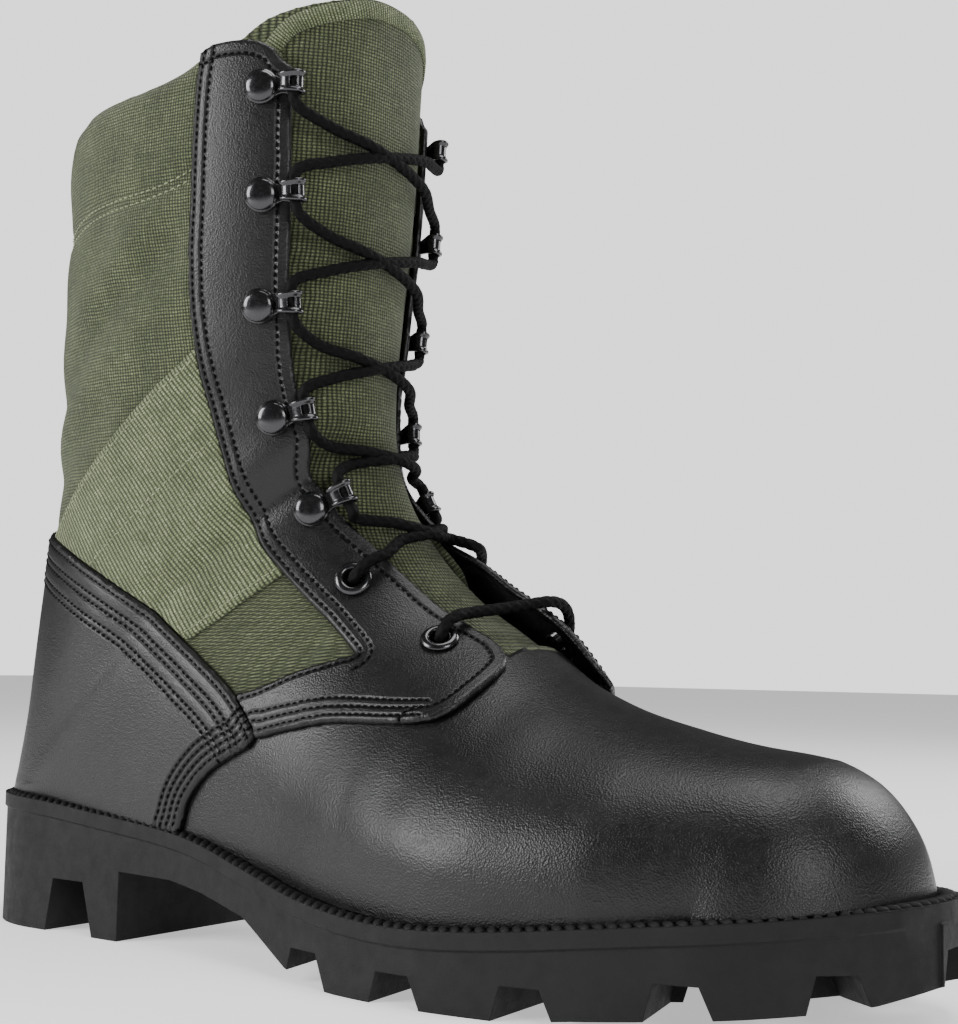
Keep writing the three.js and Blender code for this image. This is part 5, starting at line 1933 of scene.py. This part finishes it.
def laceTube(name, points):
    path = tightRun(points, 0.25)
    gone = np.concatenate([[0], np.cumsum(np.linalg.norm(np.diff(path, axis=0), axis=1))])
    places = np.arange(0, gone[-1], laceShape["step"])
    path = np.stack([np.interp(places, gone, path[:, k]) for k in range(3)], axis=1)
    tangents = np.gradient(path, axis=0)
    tangents /= np.linalg.norm(tangents, axis=1, keepdims=True)
    normal = np.cross(tangents[0], [0.3, 0.2, 1.0])
    around = 24
    angles = np.linspace(0, 2 * math.pi, around, endpoint=False)
    rings = []
    for k, (p, t) in enumerate(zip(path, tangents)):
        normal = normal - t * (normal @ t)
        normal /= np.linalg.norm(normal)
        other = np.cross(t, normal)
        phase = 2 * math.pi * places[k] / laceShape["braidPitch"]
        n = laceShape["braidTurns"]
        weave = np.maximum(np.sin(n * angles + n * phase / 3), np.sin(n * angles - n * phase / 3))
        radius = laceShape["diameter"] / 2 * (0.86 + 0.14 * weave)
        rings.append(
            p + np.outer(radius * np.cos(angles), normal) + np.outer(radius * np.sin(angles), other)
        )
    vertices = np.vstack(rings)
    faces = []
    for k in range(len(rings) - 1):
        for q in range(around):
            r = (q + 1) % around
            faces.append((k * around + q, k * around + r, (k + 1) * around + r, (k + 1) * around + q))
    faces.append(tuple(reversed(range(around))))
    faces.append(tuple((len(rings) - 1) * around + q for q in range(around)))
    return newObject(name, vertices, faces, laceCord)


laceCord = makeThread("laceCord", (0.003, 0.003, 0.0032), 0.7)
outerHalf = laceTube("lace_fromOuter", lacePath(-1))
innerHalf = laceTube("lace_fromInner", lacePath(1))
outerEnd = laceFromEyelet(6, -1, True)
innerEnd = laceFromEyelet(6, 1, True)
middle = [outerEnd[0] + (innerEnd[0] - outerEnd[0]) * t for t in (0.33, 0.66)]
laceBar = laceTube("lace_lowBar", outerEnd[::-1] + middle + innerEnd)
finishPiece(outerHalf, "cord", "lace_crossing_1", "lace_crossing_3", "lace_crossing_5")
finishPiece(innerHalf, "cord", "lace_crossing_2", "lace_crossing_4")
finishPiece(laceBar, "cord", "lace_bar")
print("lace made")


# Floor, light and camera
studio = {
    "floorColor": (0.86, 0.86, 0.86, 1),
    "floorGlow": 0.6,
    "worldStrength": 0.09,
    "backdropStrength": 1.7,
    "lights": [
        # name, place, aim, size, power in watts
        ("keySoft", (-0.82, -1.12, 0.6), (0.0, 0.0, 0.13), 0.75, 25.0),
        ("rightSoft", (1.3, -0.6, 0.6), (0.06, 0.0, 0.06), 0.55, 9.0),
        ("topSoft", (0.2, 0.1, 1.5), (0.0, 0.0, 0.1), 0.9, 14.0),
        ("backRim", (0.5, 1.1, 0.8), (0.0, 0.0, 0.1), 0.6, 8.0),
    ],
    "camera": (442.7, -373.6, 83.4),
    "azimuth": 35.172,
    "elevation": -5.473,
    "roll": 0.974,
    "focalPixels": 1604.5,
    "frameHeight": 1024,
}
floorMesh = bpy.data.meshes.new("floor")
floorMesh.from_pydata([(-6, -6, 0), (6, -6, 0), (6, 6, 0), (-6, 6, 0)], [], [(0, 1, 2, 3)])
floor = bpy.data.objects.new("floor", floorMesh)
bpy.context.scene.collection.objects.link(floor)
floorMaterial, _, floorShader = newMaterial("paleFloor")
floorShader.inputs["Base Color"].default_value = studio["floorColor"]
floorShader.inputs["Roughness"].default_value = 0.9
floorShader.inputs["Emission Color"].default_value = (1, 1, 1, 1)
floorShader.inputs["Emission Strength"].default_value = studio["floorGlow"]
floorMesh.materials.append(floorMaterial)
world = bpy.data.worlds.new("studio")
world.use_nodes = True
worldTree = world.node_tree
dim = worldTree.nodes["Background"]
dim.inputs["Color"].default_value = (1, 1, 1, 1)
dim.inputs["Strength"].default_value = studio["worldStrength"]
backdrop = worldTree.nodes.new("ShaderNodeBackground")
backdrop.inputs["Color"].default_value = (1, 1, 1, 1)
backdrop.inputs["Strength"].default_value = studio["backdropStrength"]
seen = worldTree.nodes.new("ShaderNodeLightPath")
chosen = worldTree.nodes.new("ShaderNodeMixShader")
worldTree.links.new(seen.outputs["Is Camera Ray"], chosen.inputs["Fac"])
worldTree.links.new(dim.outputs[0], chosen.inputs[1])
worldTree.links.new(backdrop.outputs[0], chosen.inputs[2])
worldTree.links.new(chosen.outputs[0], worldTree.nodes["World Output"].inputs["Surface"])
bpy.context.scene.world = world
for name, place, aim, size, power in studio["lights"]:
    lamp = bpy.data.lights.new(name, "AREA")
    lamp.energy = power
    lamp.size = size
    holder = bpy.data.objects.new(name, lamp)
    holder.location = place
    holder.rotation_euler = (Vector(aim) - Vector(place)).to_track_quat("-Z", "Y").to_euler()
    bpy.context.scene.collection.objects.link(holder)

azimuth, elevation, roll = (math.radians(studio[k]) for k in ("azimuth", "elevation", "roll"))
forward = Vector(
    (
        -math.sin(azimuth) * math.cos(elevation), math.cos(azimuth) * math.cos(elevation),
        -math.sin(elevation)
    )
)
rightward = Vector((math.cos(azimuth), math.sin(azimuth), 0))
upward = rightward.cross(forward)
rolledRight = rightward * math.cos(roll) + upward * math.sin(roll)
rolledUp = -rightward * math.sin(roll) + upward * math.cos(roll)
cameraData = bpy.data.cameras.new("camera")
cameraData.sensor_width = 36
cameraData.lens = studio["focalPixels"] / studio["frameHeight"] * 36
cameraData.clip_start = 0.01
camera = bpy.data.objects.new("camera", cameraData)
turned = Matrix((rolledRight, rolledUp, -forward)).transposed().to_4x4()
camera.matrix_world = Matrix.Translation(
    Vector(((np.array(studio["camera"]) + toFrame) * 0.001).tolist())
) @ turned
bpy.context.scene.collection.objects.link(camera)
bpy.context.scene.camera = camera
print("studio made")
